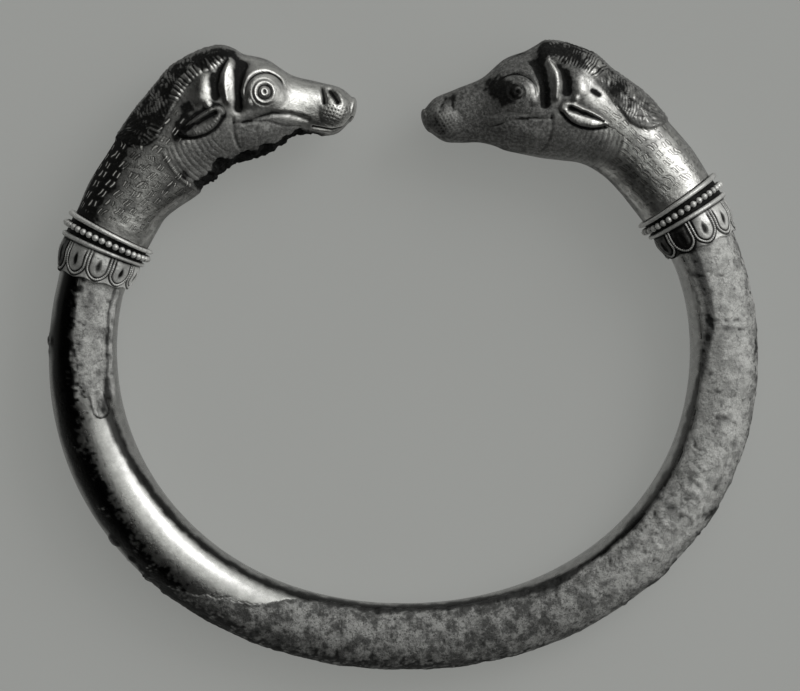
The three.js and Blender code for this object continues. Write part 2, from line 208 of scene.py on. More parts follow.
class RingFrame:
    """The place, direction and bend of the rod's end under a ring."""

    def __init__(self, angle, side):
        step = 0.01
        before, here, after = hoop_point(np.array([angle + side * step, angle, angle - side * step]))
        tangent = after - before
        self.angle = angle
        self.side = side
        self.place = here
        self.speed = np.linalg.norm(tangent) / (2 * step)
        self.bend_radius = (step * self.speed) ** 2 / np.linalg.norm(after + before - 2 * here)
        self.turn = math.atan2(-tangent[0], tangent[1])

    def on_end(self, along, inward, up):
        """Points that follow the rod's end and its bend, in the ring's own axes."""
        swing = along / self.bend_radius
        x = self.side * (self.bend_radius * (1 - np.cos(swing)) + inward * np.cos(swing))
        y = self.bend_radius * np.sin(swing) - inward * np.sin(swing)
        return np.stack(np.broadcast_arrays(x, y, up), -1)

    def to_hoop(self, points):
        """From the ring's own axes to the hoop's."""
        c, s = math.cos(self.turn), math.sin(self.turn)
        x = points[..., 0] * c - points[..., 1] * s
        y = points[..., 0] * s + points[..., 1] * c
        return np.stack([x, y, points[..., 2]], -1) + self.place


LEFT_RING = RingFrame(-math.pi - angle_at_height(LEFT_COLLAR_HEIGHT), 1)
RIGHT_RING = RingFrame(angle_at_height(RIGHT_COLLAR_HEIGHT), -1)


def rod_radius(share):
    left = LEFT_LIMB_SWELL * hump(share, 0.23, 0.18)
    right = RIGHT_LIMB_SWELL * hump(share, 0.79, 0.16)
    return ROD_END_RADIUS + left + right


def laid_down():
    """The turn and shift that lay the drawn bracelet on its two beaded wires and the hoop's underside."""
    left = LEFT_RING.place + [0, 0, -BEAD_RING_RADIUS]
    right = RIGHT_RING.place + [0, 0, -BEAD_RING_RADIUS]
    foot = rod_radius(np.array(0.5))
    drop = foot * math.cos(FACET_HALF_ANGLE) - WEAR_FLAT_DEPTH
    middle = np.array([2.1, -HOOP_HALF_DEPTH - foot * math.sin(FACET_HALF_ANGLE), -drop])
    up = np.cross(right - left, middle - left)
    up = Vector(up / np.linalg.norm(up))
    if up.z < 0:
        up.negate()
    turn = up.rotation_difference(Vector((0, 0, 1)))
    return np.array(turn.to_matrix()), turn @ Vector(left)


TURN, TOUCH = laid_down()


def laid(points):
    """From the hoop's axes to the frame's, still in millimetres, before the shift in plan."""
    moved = points @ TURN.T
    moved[..., 2] -= TOUCH[2]
    return moved


# Meshes from grids of points


def grid_faces(rows, columns, closed):
    row = np.arange(rows if closed else rows - 1)[:, None]
    column = np.arange(columns)[None, :]
    above = (row + 1) % rows
    beside = (column + 1) % columns
    corners = [row * columns + column, row * columns + beside, above * columns + beside, above * columns + column]
    return np.stack(np.broadcast_arrays(*corners), -1).reshape(-1, 4)


def cap_faces(rows, columns, first, last):
    column = np.arange(columns)
    beside = (column + 1) % columns
    top = (rows - 1) * columns
    start = np.stack([np.full(columns, first), beside, column], -1)
    end = np.stack([np.full(columns, last), top + column, top + beside], -1)
    return np.vstack([start, end])


def build_mesh(name, points, faces, layers):
    """faces is a list of arrays of corner numbers; layers maps an attribute to a value for each point."""
    mesh = bpy.data.meshes.new(name)
    mesh.from_pydata((points * MM).tolist(), [], [face for part in faces for face in part.tolist()])
    mesh.update()
    volume = 0.0
    for part in faces:
        a, b, c = (points[part[:, k]] for k in range(3))
        volume += np.einsum("ij,ij->i", a, np.cross(b, c)).sum()
        if part.shape[1] == 4:
            d = points[part[:, 3]]
            volume += np.einsum("ij,ij->i", a, np.cross(c, d)).sum()
    if volume < 0:
        mesh.flip_normals()
    for key, values in layers.items():
        attribute = mesh.attributes.new(key, "FLOAT", "POINT")
        attribute.data.foreach_set("value", np.asarray(values, np.float32).ravel())
    mesh.polygons.foreach_set("use_smooth", np.ones(len(mesh.polygons), bool))
    return mesh


def add_piece(name, mesh, material, node):
    piece = bpy.data.objects.new(name, mesh)
    bpy.context.scene.collection.objects.link(piece)
    mesh.materials.append(material)
    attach(piece, "root")
    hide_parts(node)
    return piece


# Materials


class Shader:
    """A short way to write node trees."""

    def __init__(self, name):
        self.material = bpy.data.materials.new(name)
        self.material.use_nodes = True
        self.tree = self.material.node_tree
        self.shader = self.tree.nodes["Principled BSDF"]
        self.coordinates = self.tree.nodes.new("ShaderNodeTexCoord").outputs["Object"]

    def link(self, value, socket):
        if isinstance(value, bpy.types.NodeSocket):
            self.tree.links.new(value, socket)
        else:
            socket.default_value = value

    def attribute(self, name):
        node = self.tree.nodes.new("ShaderNodeAttribute")
        node.attribute_name = name
        return node.outputs["Fac"]

    def noise(self, size_mm, detail=4.0, roughness=0.55, stretch=None):
        node = self.tree.nodes.new("ShaderNodeTexNoise")
        node.inputs["Scale"].default_value = 1 / (size_mm * MM)
        node.inputs["Detail"].default_value = detail
        node.inputs["Roughness"].default_value = roughness
        source = self.coordinates
        if stretch:
            mapping = self.tree.nodes.new("ShaderNodeMapping")
            mapping.inputs["Scale"].default_value = stretch
            self.link(source, mapping.inputs["Vector"])
            source = mapping.outputs["Vector"]
        self.link(source, node.inputs["Vector"])
        return node.outputs["Fac"]

    def spots(self, size_mm):
        node = self.tree.nodes.new("ShaderNodeTexVoronoi")
        node.inputs["Scale"].default_value = 1 / (size_mm * MM)
        self.link(self.coordinates, node.inputs["Vector"])
        return node.outputs["Distance"]

    def math(self, operation, a, b=0.0, clamp=False):
        node = self.tree.nodes.new("ShaderNodeMath")
        node.operation = operation
        node.use_clamp = clamp
        self.link(a, node.inputs[0])
        self.link(b, node.inputs[1])
        return node.outputs[0]

    def span(self, value, low, high, start=0.0, end=1.0):
        node = self.tree.nodes.new("ShaderNodeMapRange")
        node.interpolation_type = "SMOOTHSTEP"
        self.link(value, node.inputs["Value"])
        node.inputs["From Min"].default_value = low
        node.inputs["From Max"].default_value = high
        node.inputs["To Min"].default_value = start
        node.inputs["To Max"].default_value = end
        return node.outputs["Result"]

    def blend(self, share, a, b):
        """Colours a and b, mixed by share."""
        node = self.tree.nodes.new("ShaderNodeMix")
        node.data_type = "RGBA"
        self.link(share, node.inputs[0])
        self.link(a, node.inputs[6])
        self.link(b, node.inputs[7])
        return node.outputs[2]

    def bump(self, height, distance_mm, strength=1.0, below=None):
        node = self.tree.nodes.new("ShaderNodeBump")
        node.inputs["Strength"].default_value = strength
        node.inputs["Distance"].default_value = distance_mm * MM
        self.link(height, node.inputs["Height"])
        if below is not None:
            self.link(below, node.inputs["Normal"])
        return node.outputs["Normal"]

    def finish(self, color, metallic, roughness, normal):
        self.link(color, self.shader.inputs["Base Color"])
        self.link(metallic, self.shader.inputs["Metallic"])
        self.link(roughness, self.shader.inputs["Roughness"])
        self.link(normal, self.shader.inputs["Normal"])
        return self.material


def paired_dashes(s):
    """Pairs of short strokes punched along the neck, in staggered columns: the stroke, painted dark as its shadow, and
    a painted highlight down its middle.
    """
    stray = s.span(s.noise(3.0, 2), 0.2, 0.8, -0.25, 0.25)
    column = s.math("ADD", s.math("MULTIPLY", s.attribute("neck_round"), 1 / 1.25), stray)
    whole = s.math("FLOOR", column)
    shifted = s.math("MULTIPLY", whole, 0.43)
    row = s.math("ADD", s.math("ADD", s.math("MULTIPLY", s.attribute("neck_along"), 1 / 1.3), shifted), stray)
    beside = s.math("ABSOLUTE", s.math("SUBTRACT", s.math("FRACT", column), 0.5))
    off = s.math("ABSOLUTE", s.math("SUBTRACT", beside, 0.17))
    down = s.math("ABSOLUTE", s.math("SUBTRACT", s.math("FRACT", row), 0.5))
    stroke = s.math("MULTIPLY", s.span(off, 0.08, 0.15, 1, 0), s.span(down, 0.3, 0.38, 1, 0))
    stroke_glint = s.math("MULTIPLY", s.span(off, 0.02, 0.05, 1, 0), s.span(down, 0.22, 0.3, 1, 0))
    patchy = s.span(s.noise(1.4, 2), 0.28, 0.4)
    shown = s.math("MULTIPLY", patchy, s.attribute("punched"))
    return s.math("MULTIPLY", stroke, shown), s.math("MULTIPLY", stroke_glint, shown)


def grey(value, warmth=0.0):
    return (value * (1 + warmth), value, value * (1 - 1.5 * warmth), 1)


def worked_silver():
    """Polished on what stands out, tarnished black in what is cut in, with black painted shade where the meshes hold
    it, a painted shadow and highlight on the punched strokes, and dull specks.
    """
    s = Shader("worked_silver")
    # Black tarnish in what is cut in, and painted shade, both carried by the meshes' attribute.
    recess_and_shade = s.attribute("recess_and_shade")
    dirt = s.noise(0.5, 5)
    patches = s.noise(3.2, 4)
    tarnish_and_shade = s.math("ADD", recess_and_shade, s.span(patches, 0.45, 0.75, 0, 0.35))
    tarnish_and_shade = s.math("ADD", tarnish_and_shade, s.span(dirt, 0.5, 0.8, 0, 0.25), clamp=True)
    pale = s.attribute("pale")
    tone = s.blend(s.span(patches, 0.3, 0.7), grey(0.66, 0.015), grey(0.5, 0.015))
    tone = s.blend(s.math("MULTIPLY", pale, 0.8), tone, grey(0.78, 0.01))
    clean = s.math("POWER", s.math("SUBTRACT", 1.0, tarnish_and_shade), 1.4)
    color = s.blend(s.math("SUBTRACT", 1.0, clean), tone, grey(0.007, 0.02))
    stroke, stroke_glint = paired_dashes(s)
    # Painted shadow in the punched strokes, then a painted highlight down their middles.
    color = s.blend(s.math("MULTIPLY", stroke, 0.7), color, grey(0.05, 0.02))
    color = s.blend(s.math("MULTIPLY", stroke_glint, 0.9), color, grey(0.75, 0.02))
    dull = s.attribute("dull")
    specks = s.noise(0.35, 5, 0.7)
    dull_tone = s.blend(s.span(specks, 0.42, 0.62), grey(0.05, 0.01), grey(0.26, 0.01))
    color = s.blend(s.math("MULTIPLY", dull, s.span(tarnish_and_shade, 0.35, 0.95, 0.9, 0.05)), color, dull_tone)
    torn = s.attribute("torn")
    color = s.blend(torn, color, grey(0.012))
    metallic = s.math("SUBTRACT", s.span(tarnish_and_shade, 0.35, 1.0, 1.0, 0.1), s.math("MULTIPLY", dull, 0.5), clamp=True)
    metallic = s.math("SUBTRACT", metallic, torn, clamp=True)
    metallic = s.math("SUBTRACT", metallic, s.math("MULTIPLY", pale, 0.6), clamp=True)
    wear = s.noise(0.9, 5)
    roughness = s.math("ADD", s.span(wear, 0.3, 0.7, 0.26, 0.4), s.math("MULTIPLY", tarnish_and_shade, 0.3))
    roughness = s.math("ADD", roughness, s.math("MULTIPLY", dull, 0.22))
    roughness = s.math("ADD", roughness, s.math("MULTIPLY", torn, 0.5), clamp=True)
    flecks = s.noise(0.2, 4, 0.7)
    color = s.blend(s.span(flecks, 0.58, 0.68, 0, 0.65), color, grey(0.06, 0.01))
    normal = s.bump(flecks, 0.02, 0.8)
    normal = s.bump(s.noise(0.8, 4), 0.09, 0.8, normal)
    normal = s.bump(s.math("MULTIPLY", specks, s.math("ADD", dull, torn)), 0.1, 0.8, normal)
    normal = s.bump(s.math("MULTIPLY", stroke, -1.0), 0.015, 0.7, normal)
    s.link(s.span(s.math("MAXIMUM", torn, tarnish_and_shade), 0.4, 1.0, 0.5, 0.1), s.shader.inputs["Specular IOR Level"])
    return s.finish(color, metallic, roughness, normal)


def hoop_silver():
    """Polished bands with a dull, pitted crust over parts of the rod; black painted shade and a painted highlight come
    with the mesh.
    """
    s = Shader("hoop_silver")
    crust = s.attribute("crust")
    pale = s.attribute("pale")
    recess_and_shade = s.attribute("recess_and_shade")
    fine = s.noise(0.45, 6, 0.7)
    broad = s.noise(1.7, 6, 0.7)
    veins = s.math("ABSOLUTE", s.math("SUBTRACT", s.noise(2.6, 4, 0.5), 0.5))
    stains = s.math("ABSOLUTE", s.math("SUBTRACT", s.noise(5.0, 3, 0.4), 0.56))
    grain_spots = s.noise(0.24, 3, 0.6)
    pits = s.spots(0.6)
    light_crust = s.blend(pale, grey(0.36, 0.01), grey(0.66, 0.01))
    dark_crust = s.blend(pale, grey(0.09, 0.01), grey(0.44, 0.01))
    contrast = s.span(pale, 0.2, 0.9, 1.0, 0.4)
    crust_tone = s.blend(s.span(broad, 0.42, 0.58), dark_crust, light_crust)
    crust_tone = s.blend(s.span(stains, 0.0, 0.02, 0.4, 0), crust_tone, light_crust)
    crust_tone = s.blend(s.math("MULTIPLY", s.span(fine, 0.54, 0.66, 0, 0.8), contrast), crust_tone, grey(0.06, 0.01))
    crust_tone = s.blend(s.span(fine, 0.32, 0.44, 0.6, 0), crust_tone, light_crust)
    crust_tone = s.blend(s.span(veins, 0.0, 0.02, 0.4, 0), crust_tone, grey(0.06, 0.01))
    crust_tone = s.blend(s.math("MULTIPLY", s.span(grain_spots, 0.56, 0.66, 0, 0.7), contrast), crust_tone, grey(0.05, 0.01))
    crust_tone = s.blend(s.math("MULTIPLY", s.span(pits, 0.1, 0.24, 0.6, 0), contrast), crust_tone, grey(0.03, 0.01))
    metal_tone = s.blend(s.span(s.noise(0.9, 6, 0.7), 0.35, 0.65), grey(0.46, 0.01), grey(0.35, 0.01))
    color = s.blend(crust, metal_tone, crust_tone)
    # Black from the mesh: tarnish in pits, scars and flakes, and painted shade along the inside and on the outer side
    # of the left limb.
    color = s.blend(recess_and_shade, color, grey(0.015, 0.01))
    metallic = s.span(crust, 0.0, 1.0, 1.0, 0.25)
    shine = s.span(s.noise(1.3, 4), 0.3, 0.7, 0.24, 0.34)
    roughness = s.math("ADD", shine, s.math("MULTIPLY", crust, 0.38))
    rub = s.math("MAXIMUM", crust, s.math("MULTIPLY", s.attribute("rub"), 0.45))
    grain = s.math("MULTIPLY", s.noise(0.3, 5, 0.7), rub)
    normal = s.bump(grain, 0.12, 1.0)
    normal = s.bump(s.math("MULTIPLY", s.noise(1.5, 5), rub), 0.2, 0.8, normal)
    return s.finish(color, metallic, roughness, normal)


WORKED = worked_silver()
HOOP_METAL = hoop_silver()


# Hoop


def hoop_rows():
    """Angles along the hoop from the left end to the right, evenly spaced by length."""
    reach = RING_HALF_LENGTH + BUTT_GAP + SOCKET_DEPTH
    start = LEFT_RING.angle - reach / LEFT_RING.speed
    end = RIGHT_RING.angle + reach / RIGHT_RING.speed
    angles = np.linspace(start, end, 4001)
    points = hoop_point(angles)
    run = np.concatenate([[0], np.cumsum(np.linalg.norm(np.diff(points, axis=0), axis=1))])
    shares = np.linspace(0, 1, HOOP_ROWS)
    return shares, np.interp(shares * run[-1], run, angles), run[-1]


def build_hoop():
    shares, angles, length = hoop_rows()
    centre = hoop_point(angles)
    tangent = np.gradient(centre, axis=0)
    tangent /= np.linalg.norm(tangent, axis=1)[:, None]
    outward = np.stack([tangent[:, 1], -tangent[:, 0], np.zeros(HOOP_ROWS)], -1)
    around = np.arange(HOOP_COLUMNS) * 2 * np.pi / HOOP_COLUMNS
    radius = rod_radius(shares)[:, None]
    direction = outward[:, None, :] * np.cos(around)[None, :, None]
    direction = direction + np.array([0, 0, 1]) * np.sin(around)[None, :, None]
    skin = centre[:, None, :] + direction * radius[..., None]
    crust = crust_mask(skin, shares[:, None], around[None, :])
    across = np.cos(around)[None, :] * np.ones_like(radius)
    rough = cloud(skin, 0.9, 11, 4)
    lumps = cloud(skin, 2.6, 21, 3)
    pits = np.maximum(0, noise(skin, 0.5, 31) - 0.4) + np.maximum(0, noise(skin, 1.0, 33) - 0.5)
    hammered = cloud(skin, 5.0, 51, 2)
    depth = crust * (0.1 * rough + 0.1 * lumps - 0.25 * pits) + 0.02 * hammered - 0.06
    flakes = smooth(cloud(skin, 1.6, 61, 3), 0.15, 0.4) * smooth(across, 0.75, 0.95)
    flaky = hump(shares, 0.275, 0.06) + hump(shares, 0.7, 0.12) + hump(shares, 0.105, 0.016)
    depth += 0.22 * flakes * flaky[:, None]
    scar = scars(skin)
    depth -= 0.16 * scar
    depth *= smooth(shares[:, None] * length, 8.4, 9.6) * smooth((1 - shares[:, None]) * length, 8.4, 9.6)
    skin = skin + direction * depth[..., None]
    # Painted shade: a black line along the inside of the rod, standing in for a dark reflection.
    stripe_middle, stripe_width = (
        np.interp(shares, [row[0] for row in INNER_SHADE_LINE], [row[k] for row in INNER_SHADE_LINE])[:, None] for k in (1, 2)
    )
    upper = smooth(np.sin(around), -0.3, 0.2)[None, :]
    off_stripe = np.abs(across - stripe_middle + 0.05 * rough)
    inner_shade_line = (1 - smooth(off_stripe, stripe_width - 0.03, stripe_width + 0.06)) * upper
    inner_shade_line = inner_shade_line * (1 - 0.35 * smooth(shares, 0.64, 0.72)[:, None] * (0.6 + 0.4 * lumps))
    # Painted shade on the outer side of the left limb, with tarnish.
    tarnish_and_shade = outer_shade_and_tarnish(skin, shares[:, None], across) * upper
    recess_and_shade = np.clip(0.95 * inner_shade_line + pits * crust * 1.4 + 0.3 * scar + flakes * flaky[:, None] + tarnish_and_shade, 0, 1)
    # Paler crust on the left patch and the right limb, less pale toward the outer edge; the darker inner side of the
    # right limb is painted shade.
    left_tone = 0.75 * (1 - smooth(shares, 0.2, 0.3))
    pale = np.broadcast_to((left_tone + 0.9 * smooth(shares, 0.58, 0.72))[:, None], across.shape)
    pale = pale - 0.5 * smooth(across, 0.6, 0.95) - 0.35 * hump(shares, 0.73, 0.08)[:, None] * (1 - smooth(across, -0.3, 0.1))
    # A painted highlight: a pale streak along the right limb.
    painted_highlight_streak = bell(across - 0.3, 0.14) * (hump(shares, 0.765, 0.035) + 0.6 * hump(shares, 0.72, 0.02))[:, None]
    pale = pale + 0.6 * painted_highlight_streak
    rub = smooth(across, -0.5, 0.3) * smooth(shares, 0.1, 0.16)[:, None]
    points = laid(np.vstack([skin.reshape(-1, 3), centre[:1], centre[-1:]]))
    points[:, 2] = np.maximum(points[:, 2], 0)
    points[:, :2] += PLAN_SHIFT
    count = HOOP_ROWS * HOOP_COLUMNS
    faces = [
        grid_faces(HOOP_ROWS, HOOP_COLUMNS, False),
        cap_faces(HOOP_ROWS, HOOP_COLUMNS, count, count + 1),
    ]
    layers = {
        "crust": np.append(crust.ravel(), [0, 0]),
        "recess_and_shade": np.append(recess_and_shade.ravel(), [0, 0]),
        "pale": np.append(np.clip(pale, 0, 1).ravel(), [0, 0]),
        "rub": np.append(rub.ravel(), [0, 0]),
    }
    return build_mesh("hoop_skin", points, faces, layers)


def crust_mask(skin, share, around):
    """Where the dull crust lies: 1 on crust, 0 on polished metal."""
    across = np.cos(around)
    wander = cloud(skin, 4.0, 71, 4)
    ragged = cloud(skin, 1.3, 91, 4)
    left_patch = smooth(-share, -0.17, -0.13) * smooth(-across, -0.45, -0.2) * smooth(across, -0.95, -0.8)
    inner_end = np.interp(share, [0.36, 0.42, 0.6, 0.66], [-0.5, -0.92, -0.92, -0.7])
    bottom = smooth(share + 0.065 * across, 0.335, 0.365) * smooth(across - inner_end, -0.05, 0.15)
    under = smooth(-np.sin(around), 0.1, 0.6) * 0.9
    wish = np.maximum.reduce(np.broadcast_arrays(left_patch, bottom, under))
    _, scar_off = near_line(*SCARS[0][:2], skin[..., 0], skin[..., 1])
    soft = 0.06 + 0.16 * (share < 0.2)
    edge = smooth(wish + 0.3 * wander + 0.3 * ragged, 0.5 - soft, 0.5 + soft)
    return np.maximum(edge, (1 - smooth(scar_off, 0.65, 0.9)) * (skin[..., 2] > 0))


# Shares of the hoop's length, with the middle and half width of the black line of painted shade along the inside there
INNER_SHADE_LINE = [
    (0.03, -0.74, 0.02),
    (0.13, -0.72, 0.03),
    (0.16, -0.58, 0.13),
    (0.24, -0.78, 0.09),
    (0.34, -0.84, 0.06),
    (0.44, -0.88, 0.09),
    (0.55, -0.88, 0.09),
    (0.62, -0.7, 0.12),
    (0.65, -0.72, 0.04),
    (0.70, -0.74, 0.1),
    (0.82, -0.82, 0.06),
    (0.89, -0.35, 0.14),
    (0.95, -0.35, 0.12),
]


def outer_shade_and_tarnish(skin, share, across):
    """Black on the outer side of the left limb, breaking up in specks toward the bright band; partly the metal
    tarnished there, partly painted shade on the side turned away from the light.
    """
    specks = noise(skin, 0.35, 511) + 0.6 * noise(skin, 1.2, 513)
    wander = cloud(skin, 3.0, 517, 3)
    inner_edge = np.interp(share, [0.0, 0.12, 0.27, 0.36, 0.5, 0.64], [0.4, 0.2, 0.3, 0.72, 0.78, 1.1])
    inner = smooth(across - inner_edge + 0.3 * specks + 0.15 * wander, -0.08, 0.14)
    rim = smooth(across + 0.06 * wander, 0.84, 0.97) * (1 - hump(share, 0.105, 0.025)) * (share < 0.3)
    return inner * (1 - 0.7 * rim)


SCARS = [((-34.3, -4.4), (-33.8, -6.1), 0.4), ((31.6, -16.6), (30.2, -17.6), 1.1), ((31.0, -19.0), (29.4, -20.2), 1.0)]


def scars(skin):
    """Shallow dents with a rim, at their places on the rod."""
    total = 0
    for start, end, width in SCARS:
        _, off = near_line(start, end, skin[..., 0], skin[..., 1])
        total = total + bell(off, width) - 0.8 * bell(off - 1.5 * width, 0.3 * width)
    return total * (skin[..., 2] > 0)


# Collars

BORE_RADIUS = ROD_END_RADIUS + SLIDE_GAP
GROOVE_RADIUS = BEAD_RING_RADIUS - 2 * BEAD_RADIUS - BEAD_GAP


def collar_profile():
    """Rows of (along, radius, carving, scallop), down the outside and back up the bore."""
    rim_middle = RING_HALF_LENGTH - RIM_HALF_WIDTH
    groove_edge = rim_middle - RIM_HALF_WIDTH
    rows = [(RING_HALF_LENGTH, BORE_RADIUS, 0, 0), (RING_HALF_LENGTH, UPPER_RIM_RADIUS - 0.4, 0, 0)]
    for middle, rim in ((rim_middle, UPPER_RIM_RADIUS), (-rim_middle, LOWER_RIM_RADIUS)):
        for a in np.linspace(0, np.pi, 9):
            along = middle + RIM_HALF_WIDTH * math.cos(a)
            rows.append((along, rim - RIM_HALF_WIDTH + RIM_HALF_WIDTH * math.sin(a), 0, 0))
        if middle > 0:
            for share in np.linspace(1, -1, 7):
                rows.append((groove_edge * share, GROOVE_RADIUS, 0, 0))
    for share in np.linspace(0.02, 1, 44):
        along = -RING_HALF_LENGTH - share * SKIRT_LENGTH
        low = smooth(np.array(share), 0.3, 1.0)
        radius = mix(mix(SKIRT_TOP_RADIUS, SKIRT_BELLY_RADIUS, min(1, share * 3)), SKIRT_HEM_RADIUS, low)
        rows.append((along, float(radius), min(1, share * 6), share**3))
    rows.append((-RING_HALF_LENGTH - SKIRT_LENGTH - 0.03, SKIRT_HEM_RADIUS - 0.1, 0.3, 1))
    rows.append((-RING_HALF_LENGTH - SKIRT_LENGTH, BORE_RADIUS, 0, 1))
    return np.array(rows)


TONGUE_HALF_WIDTH = 1.22
TONGUE_BOTTOM = SKIRT_LENGTH - TONGUE_HALF_WIDTH - 0.3


def tongue_field(share, down):
    """Height and darkness of the skirt's carving; share runs over one tongue, down from the ring to the hem."""
    half = (share - 0.5) * 2 * np.pi * SKIRT_TOP_RADIUS / TONGUE_COUNT
    length = down * SKIRT_LENGTH
    past = np.maximum(0, length - TONGUE_BOTTOM)
    edge = TONGUE_HALF_WIDTH - np.hypot(half, past)
    pad = smooth(edge, 0.0, 0.25)
    drop = np.hypot(half / (0.26 + 0.1 * smooth(length, 1, 2)), (length - 1.6) / 0.75)
    hollow = 1 - smooth(drop, 0.4, 1.3)
    beside_wire = bell(np.abs(edge) - 0.2, 0.12)
    height = 0.06 * pad - 0.12 * hollow - 0.07 * beside_wire
    dark = np.clip(1.0 * beside_wire + 0.9 * hollow, 0, 1)
    return height, dark


def twisted_wire(path, outward, radius, pitch):
    """A fine beaded wire along a path; returns its points and faces."""
    length = np.concatenate([[0], np.cumsum(np.linalg.norm(np.diff(path, axis=0), axis=1))])
    steps = int(length[-1] / pitch * 4)
    run = np.linspace(0, length[-1], steps)
    line = np.stack([np.interp(run, length, path[:, k]) for k in range(3)], -1)
    lift = np.stack([np.interp(run, length, outward[:, k]) for k in range(3)], -1)
    tangent = np.gradient(line, axis=0)
    tangent /= np.linalg.norm(tangent, axis=1)[:, None]
    side = np.cross(tangent, lift)
    side /= np.linalg.norm(side, axis=1)[:, None]
    lift = np.cross(side, tangent)
    sides = 7
    roll = np.arange(sides) * 2 * np.pi / sides
    thick = radius * mix(0.55, 1.0, np.abs(np.cos(np.pi * run / pitch)))
    thick[0] = thick[-1] = radius * 0.4
    rings = line[:, None] + thick[:, None, None] * (
        lift[:, None] * np.cos(roll)[None, :, None] + side[:, None] * np.sin(roll)[None, :, None]
    )
    points = np.vstack([rings.reshape(-1, 3), line[:1], line[-1:]])
    faces = [grid_faces(steps, sides, False), cap_faces(steps, sides, steps * sides, steps * sides + 1)]
    return points, faces


def tongue_wires(ring, collar_turn):
    """The beaded outline of each tongue, lying on the skirt."""
    half_width = TONGUE_HALF_WIDTH
    straight = np.linspace(0.1, TONGUE_BOTTOM, 8)
    turn = np.linspace(0, np.pi, 17)[1:-1]
    half = np.concatenate([np.full(8, half_width), half_width * np.cos(turn), np.full(8, -half_width)])
    length = np.concatenate([straight, TONGUE_BOTTOM + half_width * np.sin(turn), straight[::-1]])
    parts = []
    for tongue in range(TONGUE_COUNT):
        around = (tongue + collar_turn) * 2 * np.pi / TONGUE_COUNT + half / SKIRT_TOP_RADIUS
        down = length / SKIRT_LENGTH
        low = smooth(down, 0.3, 1.0)
        radius = mix(mix(SKIRT_TOP_RADIUS, SKIRT_BELLY_RADIUS, np.minimum(1, down * 3)), SKIRT_HEM_RADIUS, low)
        radius = radius - 0.02
        along = -RING_HALF_LENGTH - length + HEM_SCALLOP * down**3 * (1 - hump(0.5 + half / 3.0, 0.5, 0.5))
        path = ring.on_end(along, radius * np.cos(around), radius * np.sin(around))
        away = ring.on_end(along, (radius + 1) * np.cos(around), (radius + 1) * np.sin(around)) - path
        parts.append(twisted_wire(path, away, 0.13, 0.24))
    return parts


def build_collar(name, ring, collar_turn, shade_from, shade_to):
    rows = collar_profile()
    around = np.arange(COLLAR_COLUMNS) * 2 * np.pi / COLLAR_COLUMNS
    share = (around * TONGUE_COUNT / (2 * np.pi) + 0.5 - collar_turn) % 1
    down = np.clip((-rows[:, 0] - RING_HALF_LENGTH) / SKIRT_LENGTH, 0, 1)[:, None]
    height, dark = tongue_field(share[None, :], down)
    carved = rows[:, 2][:, None]
    along = rows[:, 0][:, None] + HEM_SCALLOP * rows[:, 3][:, None] * (1 - hump(share, 0.5, 0.5))[None, :]
    radius = rows[:, 1][:, None] + height * carved
    skin = ring.on_end(along, radius * np.cos(around)[None, :], radius * np.sin(around)[None, :])
    worn = cloud(skin, 1.6, 131, 3)
    groove = (np.abs(rows[:, 0]) < RING_HALF_LENGTH - RIM_HALF_WIDTH) & (rows[:, 1] < GROOVE_RADIUS + 0.1)
    seam = bell(rows[:, 0] + RING_HALF_LENGTH + 0.05, 0.12)[:, None]
    # Painted shade on the side of the skirt turned away from the light, coming in between the two given angles round
    # the collar.
    painted_shade_side = smooth((around - shade_from) / (shade_to - shade_from) + 0.2 * worn, 0.0, 1.0) * np.abs(np.sin(around)) ** 0.3
    painted_shade_side = 0.95 * painted_shade_side * (np.sin(around) > -0.2) * (rows[:, 0] < -RING_HALF_LENGTH)[:, None]
    recess_and_shade = np.clip(dark * carved + groove[:, None] * 0.95 + 0.8 * seam + 0.15 * worn + painted_shade_side, 0, 1)
    points = [skin.reshape(-1, 3)]
    faces = [grid_faces(len(rows), COLLAR_COLUMNS, True)]
    shade = [recess_and_shade.ravel()]
    for wire_points, wire_faces in tongue_wires(ring, collar_turn):
        offset = sum(len(part) for part in points)
        points.append(wire_points)
        faces += [part + offset for part in wire_faces]
        shade.append(np.full(len(wire_points), 0.1))
    points = laid(ring.to_hoop(np.vstack(points)))
    points[:, :2] += PLAN_SHIFT
    points[:, 2] = np.maximum(points[:, 2], 0)
    shade = np.concatenate(shade)
    return build_mesh(name, points, faces, {"recess_and_shade": shade, "pale": np.full(len(shade), 1.0)})


def build_beaded_wire(name, ring):
    steps_per_bead, sides = 14, 14
    steps = BEAD_COUNT * steps_per_bead
    around = np.arange(steps) * 2 * np.pi / steps
    phase = (np.arange(steps) % steps_per_bead) / steps_per_bead
    pitch = 2 * np.pi * (BEAD_RING_RADIUS - BEAD_RADIUS) / BEAD_COUNT
    swell = np.sqrt(np.clip(1 - (np.minimum(phase, 1 - phase) * pitch / BEAD_RADIUS) ** 2, 0, 1))
    thickness = np.maximum(BEAD_NECK_RADIUS, BEAD_RADIUS * swell)[:, None]
    roll = (np.arange(sides) * 2 * np.pi / sides)[None, :]
    radius = BEAD_RING_RADIUS - BEAD_RADIUS + thickness * np.cos(roll)
    x = ring.side * radius * np.cos(around)[:, None]
    points = np.stack([x, thickness * np.sin(roll), radius * np.sin(around)[:, None]], -1)
    # Darker in the necks between the beads, as tarnish, and on the side lying against the collar, as painted shade.
    recess_and_shade = np.clip(0.75 - 1.2 * swell[:, None] + 0.35 * (1 - np.cos(roll)), 0, 1)
    recess_and_shade = recess_and_shade * np.ones_like(radius)
    points = laid(ring.to_hoop(points.reshape(-1, 3)))
    points[:, :2] += PLAN_SHIFT
    points[:, 2] = np.maximum(points[:, 2], 0)
    layers = {"recess_and_shade": recess_and_shade.ravel(), "pale": np.full(recess_and_shade.size, 1.0)}
    return build_mesh(name, points, [grid_faces(steps, sides, True)], layers)


# Heads

